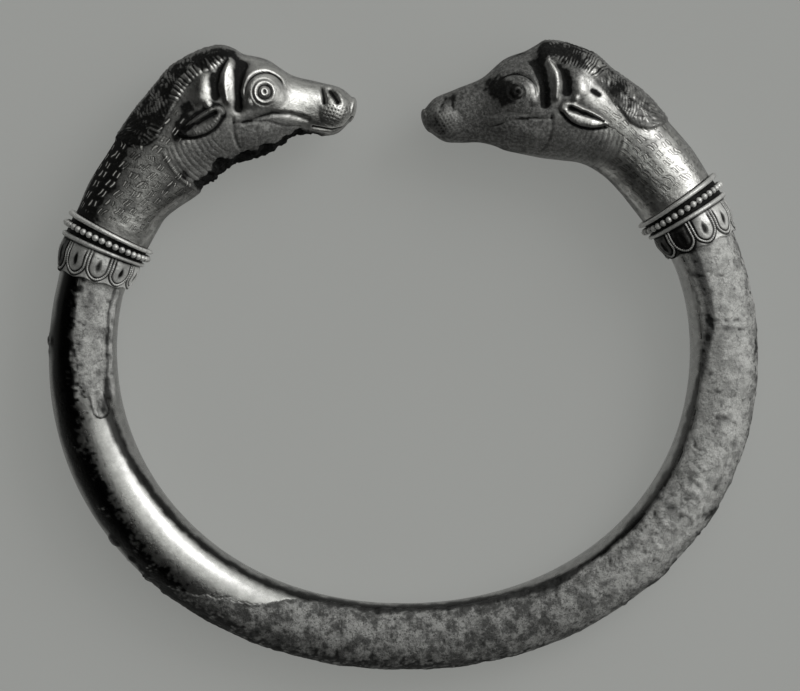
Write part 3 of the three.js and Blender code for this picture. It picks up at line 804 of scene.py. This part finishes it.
STATIONS = [
    ("neck", (0.202, -0.236), (0.206, 0.257), 4.45),
    ("upper neck", (0.357, -0.208), (0.317, 0.288), 4.5),
    ("nape", (0.51, -0.179), (0.408, 0.351), 4.55),
    ("withers", (0.672, -0.125), (0.485, 0.445), 4.65),
    ("ears", (0.809, -0.063), (0.542, 0.534), 4.75),
    ("poll", (0.954, 0.126), (0.622, 0.644), 4.75),
    ("forehead", (0.969, 0.272), (0.672, 0.691), 4.6),
    ("eyes", (0.989, 0.403), (0.721, 0.73), 4.1),
    ("bridge", (0.973, 0.576), (0.767, 0.791), 3.1),
    ("nose", (0.994, 0.733), (0.786, 0.88), 2.75),
    ("nostrils", (1.011, 0.874), (0.828, 0.961), 2.6),
    ("lips", (0.996, 0.953), (0.893, 1.0), 1.75),
]
MUZZLE_TIP = (0.962, 1.003)


def near_line(start, end, along, inward):
    """How far a point lies along a line, from 0 to 1, and how far off it."""
    dx, dy = end[0] - start[0], end[1] - start[1]
    run = np.clip(((along - start[0]) * dx + (inward - start[1]) * dy) / (dx * dx + dy * dy), 0, 1)
    return run, np.hypot(along - start[0] - run * dx, inward - start[1] - run * dy)


def near_path(path, along, inward):
    """Length along a path of points to the nearest place on it, from 0 to its whole length, and how far off it."""
    best_run, best_off, done = np.zeros_like(along), np.full_like(along, 1e9), 0.0
    for start, end in zip(path, path[1:]):
        run, off = near_line(start, end, along, inward)
        length = math.dist(start, end)
        closer = off < best_off
        best_run = np.where(closer, done + run * length, best_run)
        best_off = np.where(closer, off, best_off)
        done += length
    return best_run, best_off, done


def groove(path, depth, width, along, inward, end_width=None):
    """A groove along a path of points, narrowing to end_width; a negative depth makes a ridge."""
    run, off, length = near_path(path, along, inward)
    width = mix(width, width if end_width is None else end_width, run / length)
    return -depth * bell(off, width)


def dome(centre, radius, rise, along, inward):
    away = np.hypot(along - centre[0], inward - centre[1]) / radius
    return rise * np.maximum(0, 1 - away * away)


EYE = (22.6, 9.1)


def eye_relief(along, inward):
    """A round eye with a drilled pupil, two rings round it and a heavy upper lid."""
    away = np.hypot(along - EYE[0], inward - EYE[1])
    crownward = (0.745 * (along - EYE[0]) - 0.667 * (inward - EYE[1])) / np.maximum(away, 0.01)
    forward = (0.45 * (along - EYE[0]) + 0.89 * (inward - EYE[1])) / np.maximum(away, 0.01)
    ball = 0.3 * np.clip(1 - (away / 2.5) ** 2, 0, 1) ** 1.5 + 0.4 * bell(away, 1.6)
    pupil = -0.2 * bell(away, 0.13) + 0.1 * bell(away - 0.33, 0.15)
    iris = -0.24 * bell(away - 0.74, 0.19)
    ring = 0.05 * bell(away - 1.08, 0.14) - 0.1 * (1 - smooth(forward, 0.0, 0.7)) * bell(away - 1.36, 0.1)
    upper = smooth(crownward, -0.1, 0.4)
    lid = upper * (-0.22 * bell(away - 2.2, 0.13) + 0.12 * bell(away - 2.6, 0.3))
    tear = dome((20.7, 7.9), 0.6, 0.22, along, inward)
    return ball + pupil + iris + ring + lid + tear


EAR_SPINE = [(18.4, 5.3), (16.9, 4.6), (15.7, 3.7), (14.4, 2.6)]
EAR_SLIT = [(18.2, 5.0), (17.1, 4.2), (15.8, 3.25), (14.9, 2.7)]
EAR_FOLD = [(18.6, 4.6), (17.2, 3.75), (15.8, 2.85), (14.5, 2.3)]
EAR_LOBE = [(17.7, 5.4), (16.5, 4.85), (15.4, 3.9)]
EAR_HEM = [(18.2, 6.0), (16.9, 5.85), (15.7, 5.15), (14.8, 4.1), (14.2, 2.8)]


def ear_relief(along, inward):
    """A leaf laid back along the neck: a fold, a dark slit below it, a full lobe and a hairy lower edge, with painted
    shade in the slit and under the edge.
    """
    run, off, length = near_path(EAR_SPINE, along, inward)
    width = 1.1 * np.sin(np.pi * mix(0.2, 0.97, run / length)) ** 0.7
    leaf = 1 - smooth(off / width, 0.75, 1.15)
    slit = groove(EAR_SLIT, 0.6, 0.26, along, inward, 0.1)
    fold = groove(EAR_FOLD, -0.2, 0.2, along, inward)
    lobe = groove(EAR_LOBE, -0.22, 0.5, along, inward)
    hem_run, hem_off, _ = near_path(EAR_HEM, along, inward)
    hairs = np.abs(np.sin(np.pi * hem_run / 0.36)) ** 0.6 * bell(hem_off - 0.3, 0.3)
    height = leaf * (0.5 + slit + fold + lobe + 0.1 * hairs) - 0.22 * bell(hem_off - 0.05, 0.18)
    # Painted shade in the slit and under the lower edge.
    dark = np.clip(-1.7 * slit + 0.5 * bell(hem_off - 0.05, 0.2), 0, 1)
    return height, leaf, dark


MANE_EDGE = [
    (10.6, -3.6),
    (11.0, -1.3),
    (11.8, -0.4),
    (13.1, 0.35),
    (15.0, 0.45),
    (18.1, 0.75),
    (20.0, 1.1),
    (21.5, 1.9),
    (22.6, 2.9),
    (23.8, 3.6),
    (25.2, 5.0),
]


def mane_place(along, inward):
    """Place along the mane's lower edge, distance above it, and 1 inside the mane."""
    run, off, length = near_path(MANE_EDGE, along, inward)
    edge = np.interp(along, [a for a, _ in MANE_EDGE], [b for _, b in MANE_EDGE])
    above = np.where(inward < edge, off, -off)
    front = 1 - smooth(0.62 * along + 0.78 * inward, 18.9, 19.8)
    within = smooth(above, -0.1, 0.3) * smooth(along, 10.4, 11.0) * front
    return run, above, within


class Mane:
    """How a head's mane is worked: the strokes combed over its edge, and the tone of what lies behind."""

    def __init__(self, pitch, length, strokes, tone, streaks):
        self.pitch = pitch
        self.length = length
        self.strokes = strokes
        self.tone = tone
        self.streaks = streaks


LEFT_MANE = Mane(0.5, 1.25, ((11.5, 14.6, 0.55), (17.2, 24.5, 1.0)), 0.95, 0.5)
RIGHT_MANE = Mane(0.36, 2.1, ((19.3, 24.2, 1.0),), 0.6, 0.5)


def mane_relief(along, inward, skin, mane):
    """Strokes combed down over the edge, and shaggy locks in tiers behind them."""
    run, above, within = mane_place(along, inward)
    wander = 0.12 * noise(skin, 0.9, 171) + 0.2 * noise(skin, 2.6, 173)
    reach = mane.length * (1 + 0.35 * noise(skin, 0.8, 179))
    fringe = 1 - smooth(above, 0.75 * reach, reach)
    fringe *= sum(share * smooth(along, a, a + 0.8) * (1 - smooth(along, b - 0.8, b)) for a, b, share in mane.strokes)
    strand = np.abs(np.sin(np.pi * (run + 0.15 * above + 1.3 * wander) / mane.pitch)) ** 0.9
    strand = strand * (1 - 0.5 * smooth(noise(skin, 0.6, 187), 0.0, 0.6))
    tier = (above - 0.5) / 0.9 + 0.9 * noise(skin, 1.2, 175)
    row = np.floor(tier)
    shift = lattice(np.stack([row, row, row], -1).astype(np.int64), 177)
    lock = np.abs(np.sin(np.pi * ((run - 1.2 * above + 3 * wander) / 0.5 + shift))) ** 0.7
    lock = lock * (0.5 + 0.6 * noise(skin, 0.5, 181)) - 0.3 * (1 - smooth(tier - row, 0.0, 0.3))
    height = 0.25 + mix(0.12 * (lock - 0.4), 0.16 * (strand - 0.7), np.clip(fringe, 0, 1))
    tone = mane.tone + 0.25 * noise(skin, 1.3, 183) - mane.streaks * smooth(lock, 0.35, 0.75)
    dark = mix(tone, 1.4 * (1 - strand) - 0.1, np.clip(fringe, 0, 1))
    return within * height, within * np.clip(dark, 0, 1)


# Paths of painted shade in the hollows round the brow and temple, with the half width of each
SHADOWS = [
    ([(24.5, 5.0), (23.1, 5.6), (21.6, 6.3), (20.0, 7.0)], 0.6),
    ([(21.9, 3.2), (20.9, 3.6), (20.0, 4.2)], 0.5),
    ([(25.4, 4.2), (24.6, 2.6), (22.8, 1.2)], 0.8),
]
BROW = [(23.9, 3.9), (22.4, 4.3), (21.3, 4.8), (20.0, 5.7)]
BROW_HOLLOW = [(24.9, 5.5), (23.1, 5.75), (21.5, 6.4), (19.8, 7.3)]
TEMPLE_LINE = [(24.1, 3.8), (22.5, 3.5), (21.2, 3.7), (20.1, 4.3)]
CHEEK_LINE = [(18.6, 8.4), (19.6, 9.4), (20.9, 10.8), (21.6, 12.6), (21.8, 14.7)]
JAW_LINE = [(18.1, 7.4), (19.0, 9.1), (19.8, 10.7), (20.1, 12.6), (20.8, 14.2)]
JAW_BACK = [(18.4, 7.2), (16.9, 8.0), (16.0, 8.8), (15.1, 10.2), (15.4, 11.6)]
MOUTH = [(21.3, 15.6), (21.8, 17.7), (22.6, 18.7), (24.0, 19.1)]
NOSE_FOLD = [(26.0, 14.5), (25.15, 15.1), (24.3, 15.6)]
NOSTRIL = [(25.9, 15.6), (25.5, 16.3), (25.0, 16.9)]


def cheek_relief(along, inward, crisp):
    """Brow, cheek, mouth and nostril; crisp is how deep the finer lines are left by wear."""
    carved = groove(BROW, -0.34, 0.62, along, inward, 0.3)
    carved = carved + groove(BROW_HOLLOW, 0.62, 0.75, along, inward, 0.45)
    carved = carved + groove(TEMPLE_LINE, 0.34, 0.26, along, inward, 0.5)
    carved = carved + groove([(20.9, 2.3), (19.2, 3.0)], -0.42, 0.95, along, inward)
    carved = carved + dome((18.7, 4.0), 0.55, 0.3, along, inward)
    carved = carved + dome((22.9, 12.2), 3.0, 0.2, along, inward)
    carved = carved + groove(CHEEK_LINE, 0.2 * crisp, 0.3, along, inward)
    carved = carved + groove(JAW_LINE, 0.1, 0.15, along, inward)
    carved = carved + groove(JAW_BACK, 0.14, 0.2, along, inward)
    carved = carved + dome((18.6, 10.9), 0.9, 0.16, along, inward)
    carved = carved + dome((17.2, 10.2), 1.4, 0.14, along, inward)
    carved = carved + dome((23.9, 17.2), 1.9, 0.32, along, inward)
    carved = carved + groove(MOUTH, 0.3 * crisp, 0.17, along, inward)
    carved = carved + groove(NOSE_FOLD, 0.3 * crisp, 0.24, along, inward)
    return carved + groove(NOSTRIL, 0.5 * crisp, 0.3, along, inward)


def stipple(along, inward):
    """Small punched dots on the lips."""
    cell = 0.4
    row = np.floor(inward / cell)
    across = along / cell + 0.5 * (row % 2) + 0.35 * np.sin(2.3 * row)
    dot = np.hypot(across - np.floor(across) - 0.5, inward / cell - row - 0.5) * cell
    return bell(dot, 0.1) * (1 - smooth(np.hypot(along - 23.7, inward - 17.3), 1.0, 1.7))


THROAT_CENTRE = (17.9, 7.8)


def wrinkles(along, inward, above):
    """Folds of the throat, in arcs round the cheek, with a raised seam outside them."""
    away = np.hypot(along - THROAT_CENTRE[0], inward - THROAT_CENTRE[1])
    behind = smooth(THROAT_CENTRE[0] - 0.4 - along, 0.2, 1.4) * smooth(-above, 0.5, 1.0)
    behind = behind * smooth(inward - 0.45 * (along - 13.5) - 2.2, 0.0, 0.7)
    span = smooth(away, 2.3, 2.8) * (1 - smooth(away, 8.0, 8.4)) * behind
    folds = np.abs(np.sin(np.pi * away / 0.6)) ** 0.5 - 0.7
    seam = bell(away - 8.6, 0.22) * behind
    return 0.06 * span * folds + 0.09 * seam, span


def head_rows(reach, ring, crest_dip, jaw_drop):
    """Crown, throat, breadth, shrink and shift for each row of the head's skin."""
    start = RING_HALF_LENGTH + BUTT_GAP
    base = ring.on_end(np.array([start, start]), np.array([-NECK_RADIUS, NECK_RADIUS]), 0)
    base = np.stack([base[:, 1], ring.side * base[:, 0]], -1)
    scale = np.array([reach, HEAD_DROP])
    crown = np.vstack([base[0], [np.array(s[1]) * scale for s in STATIONS]])
    throat = np.vstack([base[1], [np.array(s[2]) * scale for s in STATIONS]])
    crown[4:7, 1] += crest_dip * np.array([1.0, 1.0, 0.8])
    throat[4:11, 0] -= jaw_drop * np.array([0.4, 0.4, 0.4, 0.8, 1.0, 1.0, 0.2])
    breadth = np.array([[i, b] for i, b in enumerate([NECK_RADIUS] + [s[3] for s in STATIONS])])
    tries = np.linspace(0, 1, 2001)
    middle = (catmull(crown, tries) + catmull(throat, tries)) / 2
    run = np.concatenate([[0], np.cumsum(np.linalg.norm(np.diff(middle, axis=0), axis=1))])
    body = HEAD_ROWS - MUZZLE_ROWS
    t = np.interp(np.linspace(0, 1, body), run / run[-1], tries)
    crown_line, throat_line = catmull(crown, t), catmull(throat, t)
    breadth_line = catmull(breadth, t)[:, 1]
    closing = np.linspace(0, np.pi / 2, MUZZLE_ROWS + 2)[1:-1]
    tip = np.array(MUZZLE_TIP) * scale
    to_tip = tip - (crown_line[-1] + throat_line[-1]) / 2
    shift = np.vstack([np.zeros((body, 2)), np.sin(closing)[:, None] * to_tip])
    shrink = np.concatenate([np.ones(body), np.cos(closing)])
    crown_line = np.vstack([crown_line, np.repeat(crown_line[-1:], MUZZLE_ROWS, 0)])
    throat_line = np.vstack([throat_line, np.repeat(throat_line[-1:], MUZZLE_ROWS, 0)])
    breadth_line = np.append(breadth_line, np.full(MUZZLE_ROWS, breadth_line[-1]))
    return crown_line, throat_line, breadth_line, shrink, shift, tip


def build_head(name, ring, reach, torn_edge, face_shift, crest_dip, jaw_drop, polish, mane, shadows, seed):
    crown, throat, breadth, shrink, shift, tip = head_rows(reach, ring, crest_dip, jaw_drop)
    even = np.arange(HEAD_COLUMNS) * 2 * np.pi / HEAD_COLUMNS
    around = even + 0.15 * np.sin(2 * even)
    high = signed_power(np.cos(around), 2 / CHEEK_SQUARENESS)[None, :]
    wide = signed_power(np.sin(around), 2 / CHEEK_SQUARENESS)[None, :]
    middle = (crown + throat) / 2 + shift
    upward = (crown - throat) / 2 * shrink[:, None]
    plan = middle[:, None, :] + upward[:, None, :] * high[..., None]
    up = wide * (breadth * shrink)[:, None]
    skin = np.concatenate([plan, up[..., None]], -1)
    normal = np.concatenate(
        [
            upward[:, None, :] * (high / (upward**2).sum(1)[:, None])[..., None],
            (wide / (breadth * shrink)[:, None])[..., None],
        ],
        -1,
    )
    normal /= np.linalg.norm(normal, axis=-1)[..., None]
    along = skin[..., 0] * DRAWN_REACH / reach
    inward = skin[..., 1]
    along = along + face_shift * (1 - smooth(inward, 3, 14))
    inward = inward + 0.45 * face_shift * (1 - smooth(inward, EYE[1], 14))
    sideways = smooth(np.abs(wide), 0.35, 0.75)
    neck_fade = smooth(skin[..., 0], 5, 9)
    ear, leaf, ear_shade = ear_relief(along, inward)
    mane_height, mane_dark = mane_relief(along, inward, skin, mane)
    _, above, within = mane_place(along, inward)
    dots = sideways * stipple(along, inward)
    side_relief = cheek_relief(along, inward, mix(0.3, 1.0, polish)) + eye_relief(along, inward) + ear - 0.06 * dots
    folds, fold_area = wrinkles(along, inward, above)
    fold_area = fold_area * (1 - leaf) * smooth(np.abs(wide), 0.1, 0.4)
    relief = neck_fade * (sideways * side_relief + mane_height) + (1 - leaf) * smooth(np.abs(wide), 0.1, 0.4) * folds
    torn = torn_edge * hump(along, 9.3, 5) * smooth(-high, 0.6, 1)
    ragged = cloud(skin, 1.3, seed + 7, 4)
    tear = (torn_edge > 0) * smooth(-high + 0.14 * ragged, 0.76, 0.84)
    tear = tear * smooth(along + 0.5 * ragged, 9.2, 10.4) * (1 - smooth(along, 20.0, 21.5))
    clear = (1 - within) * (1 - leaf) * (1 - fold_area) * (1 - tear)
    neck_area = smooth(skin[..., 0], 2.0, 2.8) * (1 - smooth(along + 0.4 * inward, 15, 18.5)) * clear
    girth = np.arctan2(skin[..., 2], -inward + 0.35 * skin[..., 0]) * 4.5
    dents = 0.04 * cloud(skin, 2.4, seed, 3)
    relief = relief + torn + dents + tear * (0.5 * cloud(skin, 0.9, seed + 17, 3) - 0.2)
    skin = skin + normal * relief[..., None]
    hollow = blurred(relief, 14) - relief
    wide_hollow = blurred(relief, 90) - relief
    recess_and_shade = np.clip(hollow / 0.09, 0, 1) * mix(0.2, 0.75, polish) + np.clip(wide_hollow / 0.3, 0, 1) * 0.7
    blotch = cloud(skin, 1.5, seed + 27, 4)
    crest = 1 - 0.6 * smooth(high + 0.02 * blotch, 0.95, 0.985)
    recess_and_shade = recess_and_shade + 0.95 * mane_dark * crest + 0.3 * dots + tear + ear_shade * sideways
    # Painted shade along each of the given paths, with blotchy edges.
    for path, width in shadows:
        _, off, _ = near_path(path, along, inward)
        edge = 0.45 * width * blotch + 0.35 * width * cloud(skin, 0.5, seed + 37, 2)
        recess_and_shade = recess_and_shade + sideways * (1 - smooth(off + edge, 0.2 * width, 1.75 * width)) ** 1.5
    # Painted shade: the outer side of the polished head's neck painted black for the dark reflection it shows.
    outer_neck_shade = smooth(-inward + 0.8 * blotch, 0.6, 3.0) * (1 - 0.6 * smooth(-inward, 4.1, 4.5))
    recess_and_shade = recess_and_shade + 1.1 * (polish > 0.5) * outer_neck_shade * (1 - smooth(along, 10, 12))
    recess_and_shade = recess_and_shade + 0.3 * (polish > 0.5) * smooth(blotch, -0.4, 0.3) * (1 - smooth(along, 12, 15))
    recess_and_shade = recess_and_shade + 0.45 * (polish > 0.5) * leaf * sideways
    jaw = (1 - smooth(high + 0.1 * ragged, -0.35, 0.0)) * smooth(along, 9, 13) * (1 - smooth(along, 20, 22))
    flank = 1 - smooth(np.abs(wide) + 0.12 * blotch, 0.3, 0.6)
    face = (1 - polish) * smooth(along + 0.5 * inward + 0.8 * blotch, 21.0, 22.5)
    shine = bell(np.hypot(along - 21.6, inward - 6.9), 1.0) + bell(np.hypot(along - 23.7, inward - 17.3), 1.2)
    _, ridge_off, _ = near_path(BROW, along, inward)
    shine = np.clip(shine + (1 - polish) * bell(ridge_off, 1.0), 0, 1)
    dull = np.clip(np.maximum.reduce([0.8 * jaw, 0.75 * flank, face * (1 - shine)]), 0, 1)
    recess_and_shade = recess_and_shade + (1 - polish) * (0.25 * face + 0.5 * face * smooth(blotch, -0.2, 0.5))
    # Painted highlights: glints on the forehead and upper lid, and on the worn head's brow ridge, made by clearing the
    # darkening.
    bright = bell(np.hypot(along - 19.6, inward - 2.7), 0.9) + bell(np.hypot(along - 22.1, inward - 7.3), 0.8)
    recess_and_shade = np.clip(recess_and_shade - 0.7 * bright - 0.5 * (1 - polish) * bell(ridge_off, 0.5), 0, 1)
    socket = []
    column_angle = around
    for depth in (RING_HALF_LENGTH + BUTT_GAP + SOCKET_DEPTH + BUTT_GAP, RING_HALF_LENGTH + BUTT_GAP):
        socket.append(ring.on_end(depth, -BORE_RADIUS * np.cos(column_angle), BORE_RADIUS * np.sin(column_angle)))
    outer = np.stack([ring.side * skin[..., 1], skin[..., 0], skin[..., 2]], -1)
    rings = np.concatenate([np.array(socket), outer])
    rows = len(rings)
    poles = np.array([
        ring.on_end(RING_HALF_LENGTH + 2 * BUTT_GAP + SOCKET_DEPTH, 0.0, 0.0),
        [ring.side * tip[1], tip[0], 0],
    ])
    points = laid(ring.to_hoop(np.vstack([rings.reshape(-1, 3), poles])))
    points[:, :2] += PLAN_SHIFT
    count = rows * HEAD_COLUMNS
    faces = [grid_faces(rows, HEAD_COLUMNS, False), cap_faces(rows, HEAD_COLUMNS, count, count + 1)]

    def layer(values, inside):
        return np.concatenate([np.full(2 * HEAD_COLUMNS, inside), values.ravel(), [inside, 0]])

    layers = {
        "recess_and_shade": layer(recess_and_shade, 1.0),
        "dull": layer(dull, 0.0),
        "torn": layer(tear, 0.0),
        "punched": layer(neck_area, 0.0),
        "neck_along": layer(along, 0.0),
        "neck_round": layer(girth, 0.0),
    }
    return build_mesh(name, points, faces, layers)


# Placing in plan: the drawn hoop's middle lands where the frame's hoop has its own


def plan_shift():
    low, high = (np.array(corner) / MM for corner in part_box("hoop"))
    _, angles, _ = hoop_rows()
    shares = np.linspace(0, 1, HOOP_ROWS)
    centre = laid(hoop_point(angles))
    left = (centre[:, 0] - rod_radius(shares)).min()
    bottom = (centre[:, 1] - rod_radius(shares)).min()
    return np.array([low[0] - left, low[1] - bottom])


PLAN_SHIFT = plan_shift()

add_piece("hoop_skin", build_hoop(), HOOP_METAL, "hoop")
# More painted shade: on the left head between the mane's edge and the ear; on the right head over the front of the eye
# and in a slot by the ear.
LEFT_SHADOWS = SHADOWS + [([(17.3, 1.9), (15.8, 2.1), (14.0, 2.3)], 0.9)]
RIGHT_SHADOWS = SHADOWS + [([(23.8, 10.4), (22.9, 10.0)], 1.35), ([(18.5, 1.9), (17.7, 1.5)], 0.3)]

# Each collar: its turn, then the two angles between which its painted shade comes in.
for side_name, ring, collar, head in (
    ("left", LEFT_RING, (LEFT_COLLAR_TURN, 2.2, 2.7), (LEFT_REACH, TORN_EDGE_SWELL, 0.0, 0.0, 0.0, 1.0, LEFT_MANE, LEFT_SHADOWS, 301)),
    (
        "right",
        RIGHT_RING,
        (RIGHT_COLLAR_TURN, 1.9, 1.2),
        (RIGHT_REACH, 0.0, 1.1, RIGHT_CREST_DIP, RIGHT_JAW_DROP, 0.1, RIGHT_MANE, RIGHT_SHADOWS, 401),
    ),
):
    add_piece(
        f"{side_name}_head_skin",
        build_head(f"{side_name}_head_skin", ring, *head),
        WORKED,
        f"{side_name}_head",
    )
    add_piece(
        f"{side_name}_collar_skin",
        build_collar(f"{side_name}_collar_skin", ring, *collar),
        WORKED,
        f"{side_name}_collar",
    )
    add_piece(
        f"{side_name}_beaded_wire_skin",
        build_beaded_wire(f"{side_name}_beaded_wire_skin", ring),
        WORKED,
        f"{side_name}_beaded_wire",
    )


# Floor


FLOOR_GLOW = 0.222
LIGHT_TINT = (0.98, 1.0, 0.955, 1)


def floor_material():
    s = Shader("backdrop")
    tone = s.blend(s.span(s.noise(60, 3), 0.3, 0.7), grey(0.15), grey(0.16))
    normal = s.bump(s.noise(0.4, 3), 0.01, 0.2)
    s.shader.inputs["Emission Color"].default_value = LIGHT_TINT
    s.shader.inputs["Emission Strength"].default_value = FLOOR_GLOW
    return s.finish(tone, 0.0, 0.85, normal)


def add_floor():
    half = 1.5
    mesh = bpy.data.meshes.new("backdrop")
    corners = [(-half, -half, 0), (half, -half, 0), (half, half, 0), (-half, half, 0)]
    mesh.from_pydata(corners, [], [(0, 1, 2, 3)])
    floor = bpy.data.objects.new("backdrop", mesh)
    bpy.context.scene.collection.objects.link(floor)
    mesh.materials.append(floor_material())


add_floor()


# Light


def area_light(name, direction, distance, size, power):
    light = bpy.data.lights.new(name, "AREA")
    light.shape = "DISK"
    light.size = size
    light.energy = power
    lamp = bpy.data.objects.new(name, light)
    lamp.location = Vector(direction).normalized() * distance
    lamp.rotation_euler = Vector(direction).to_track_quat("Z", "Y").to_euler()
    bpy.context.scene.collection.objects.link(lamp)


WINDOW = Vector((0.62, 0.5, 0.6)).normalized()
ROOM_BRIGHTNESS = 0.02
WINDOW_BRIGHTNESS = 1.2


def studio_world():
    """A soft tent of light, brightest toward the window and dark at the horizon and away from it."""
    world = bpy.data.worlds.new("studio")
    world.use_nodes = True
    tree = world.node_tree
    direction = tree.nodes.new("ShaderNodeTexCoord").outputs["Generated"]
    facing = tree.nodes.new("ShaderNodeVectorMath")
    facing.operation = "DOT_PRODUCT"
    facing.inputs[1].default_value = WINDOW
    tree.links.new(direction, facing.inputs[0])
    parts = tree.nodes.new("ShaderNodeSeparateXYZ")
    tree.links.new(direction, parts.inputs[0])

    def fade(value, low, high, top):
        node = tree.nodes.new("ShaderNodeMapRange")
        node.interpolation_type = "SMOOTHSTEP"
        node.inputs["From Min"].default_value = low
        node.inputs["From Max"].default_value = high
        node.inputs["To Max"].default_value = top
        tree.links.new(value, node.inputs["Value"])
        return node.outputs["Result"]

    toward = fade(facing.outputs["Value"], 0.42, 0.95, WINDOW_BRIGHTNESS)
    raised = fade(parts.outputs["Z"], 0.02, 0.2, 1.0)
    glow = tree.nodes.new("ShaderNodeMath")
    glow.operation = "MULTIPLY_ADD"
    tree.links.new(toward, glow.inputs[0])
    tree.links.new(raised, glow.inputs[1])
    glow.inputs[2].default_value = ROOM_BRIGHTNESS
    tree.links.new(glow.outputs[0], tree.nodes["Background"].inputs["Strength"])
    tree.nodes["Background"].inputs["Color"].default_value = LIGHT_TINT
    return world


bpy.context.scene.world = studio_world()
area_light("key", WINDOW, 1.0, 0.5, 2.2)
bpy.context.scene.view_settings.view_transform = "Standard"


# Camera: straight over the bracelet, leaning a little from the heads' side

PHOTO_WIDTH_PX, PHOTO_HEIGHT_PX = 800, 691
BRACELET_WIDTH_PX = 710.5
BRACELET_MIDDLE_PX = (403.3, 356.0)
CAMERA_DISTANCE = 0.8
CAMERA_LEAN = math.radians(1.5)
SENSOR_MM = 36.0


def add_camera():
    low, high = (Vector(corner) for corner in cad_box)
    metres_per_px = (high.x - low.x) / BRACELET_WIDTH_PX
    middle_height = (low.z + high.z) / 2
    aim = Vector((
        (low.x + high.x) / 2 - (BRACELET_MIDDLE_PX[0] - PHOTO_WIDTH_PX / 2) * metres_per_px,
        (low.y + high.y) / 2 + (BRACELET_MIDDLE_PX[1] - PHOTO_HEIGHT_PX / 2) * metres_per_px,
        middle_height,
    ))
    data = bpy.data.cameras.new("camera")
    data.sensor_fit = "HORIZONTAL"
    data.sensor_width = SENSOR_MM
    data.lens = SENSOR_MM * CAMERA_DISTANCE / (PHOTO_WIDTH_PX * metres_per_px)
    data.clip_start = 0.01
    camera = bpy.data.objects.new("camera", data)
    away = Vector((0, math.sin(CAMERA_LEAN), math.cos(CAMERA_LEAN)))
    right = Vector((1, 0, 0))
    up = away.cross(right)
    camera.matrix_world = Matrix((
        (right.x, up.x, away.x, aim.x + away.x * CAMERA_DISTANCE),
        (right.y, up.y, away.y, aim.y + away.y * CAMERA_DISTANCE),
        (right.z, up.z, away.z, aim.z + away.z * CAMERA_DISTANCE),
        (0, 0, 0, 1),
    ))
    bpy.context.scene.collection.objects.link(camera)
    bpy.context.scene.camera = camera


add_camera()
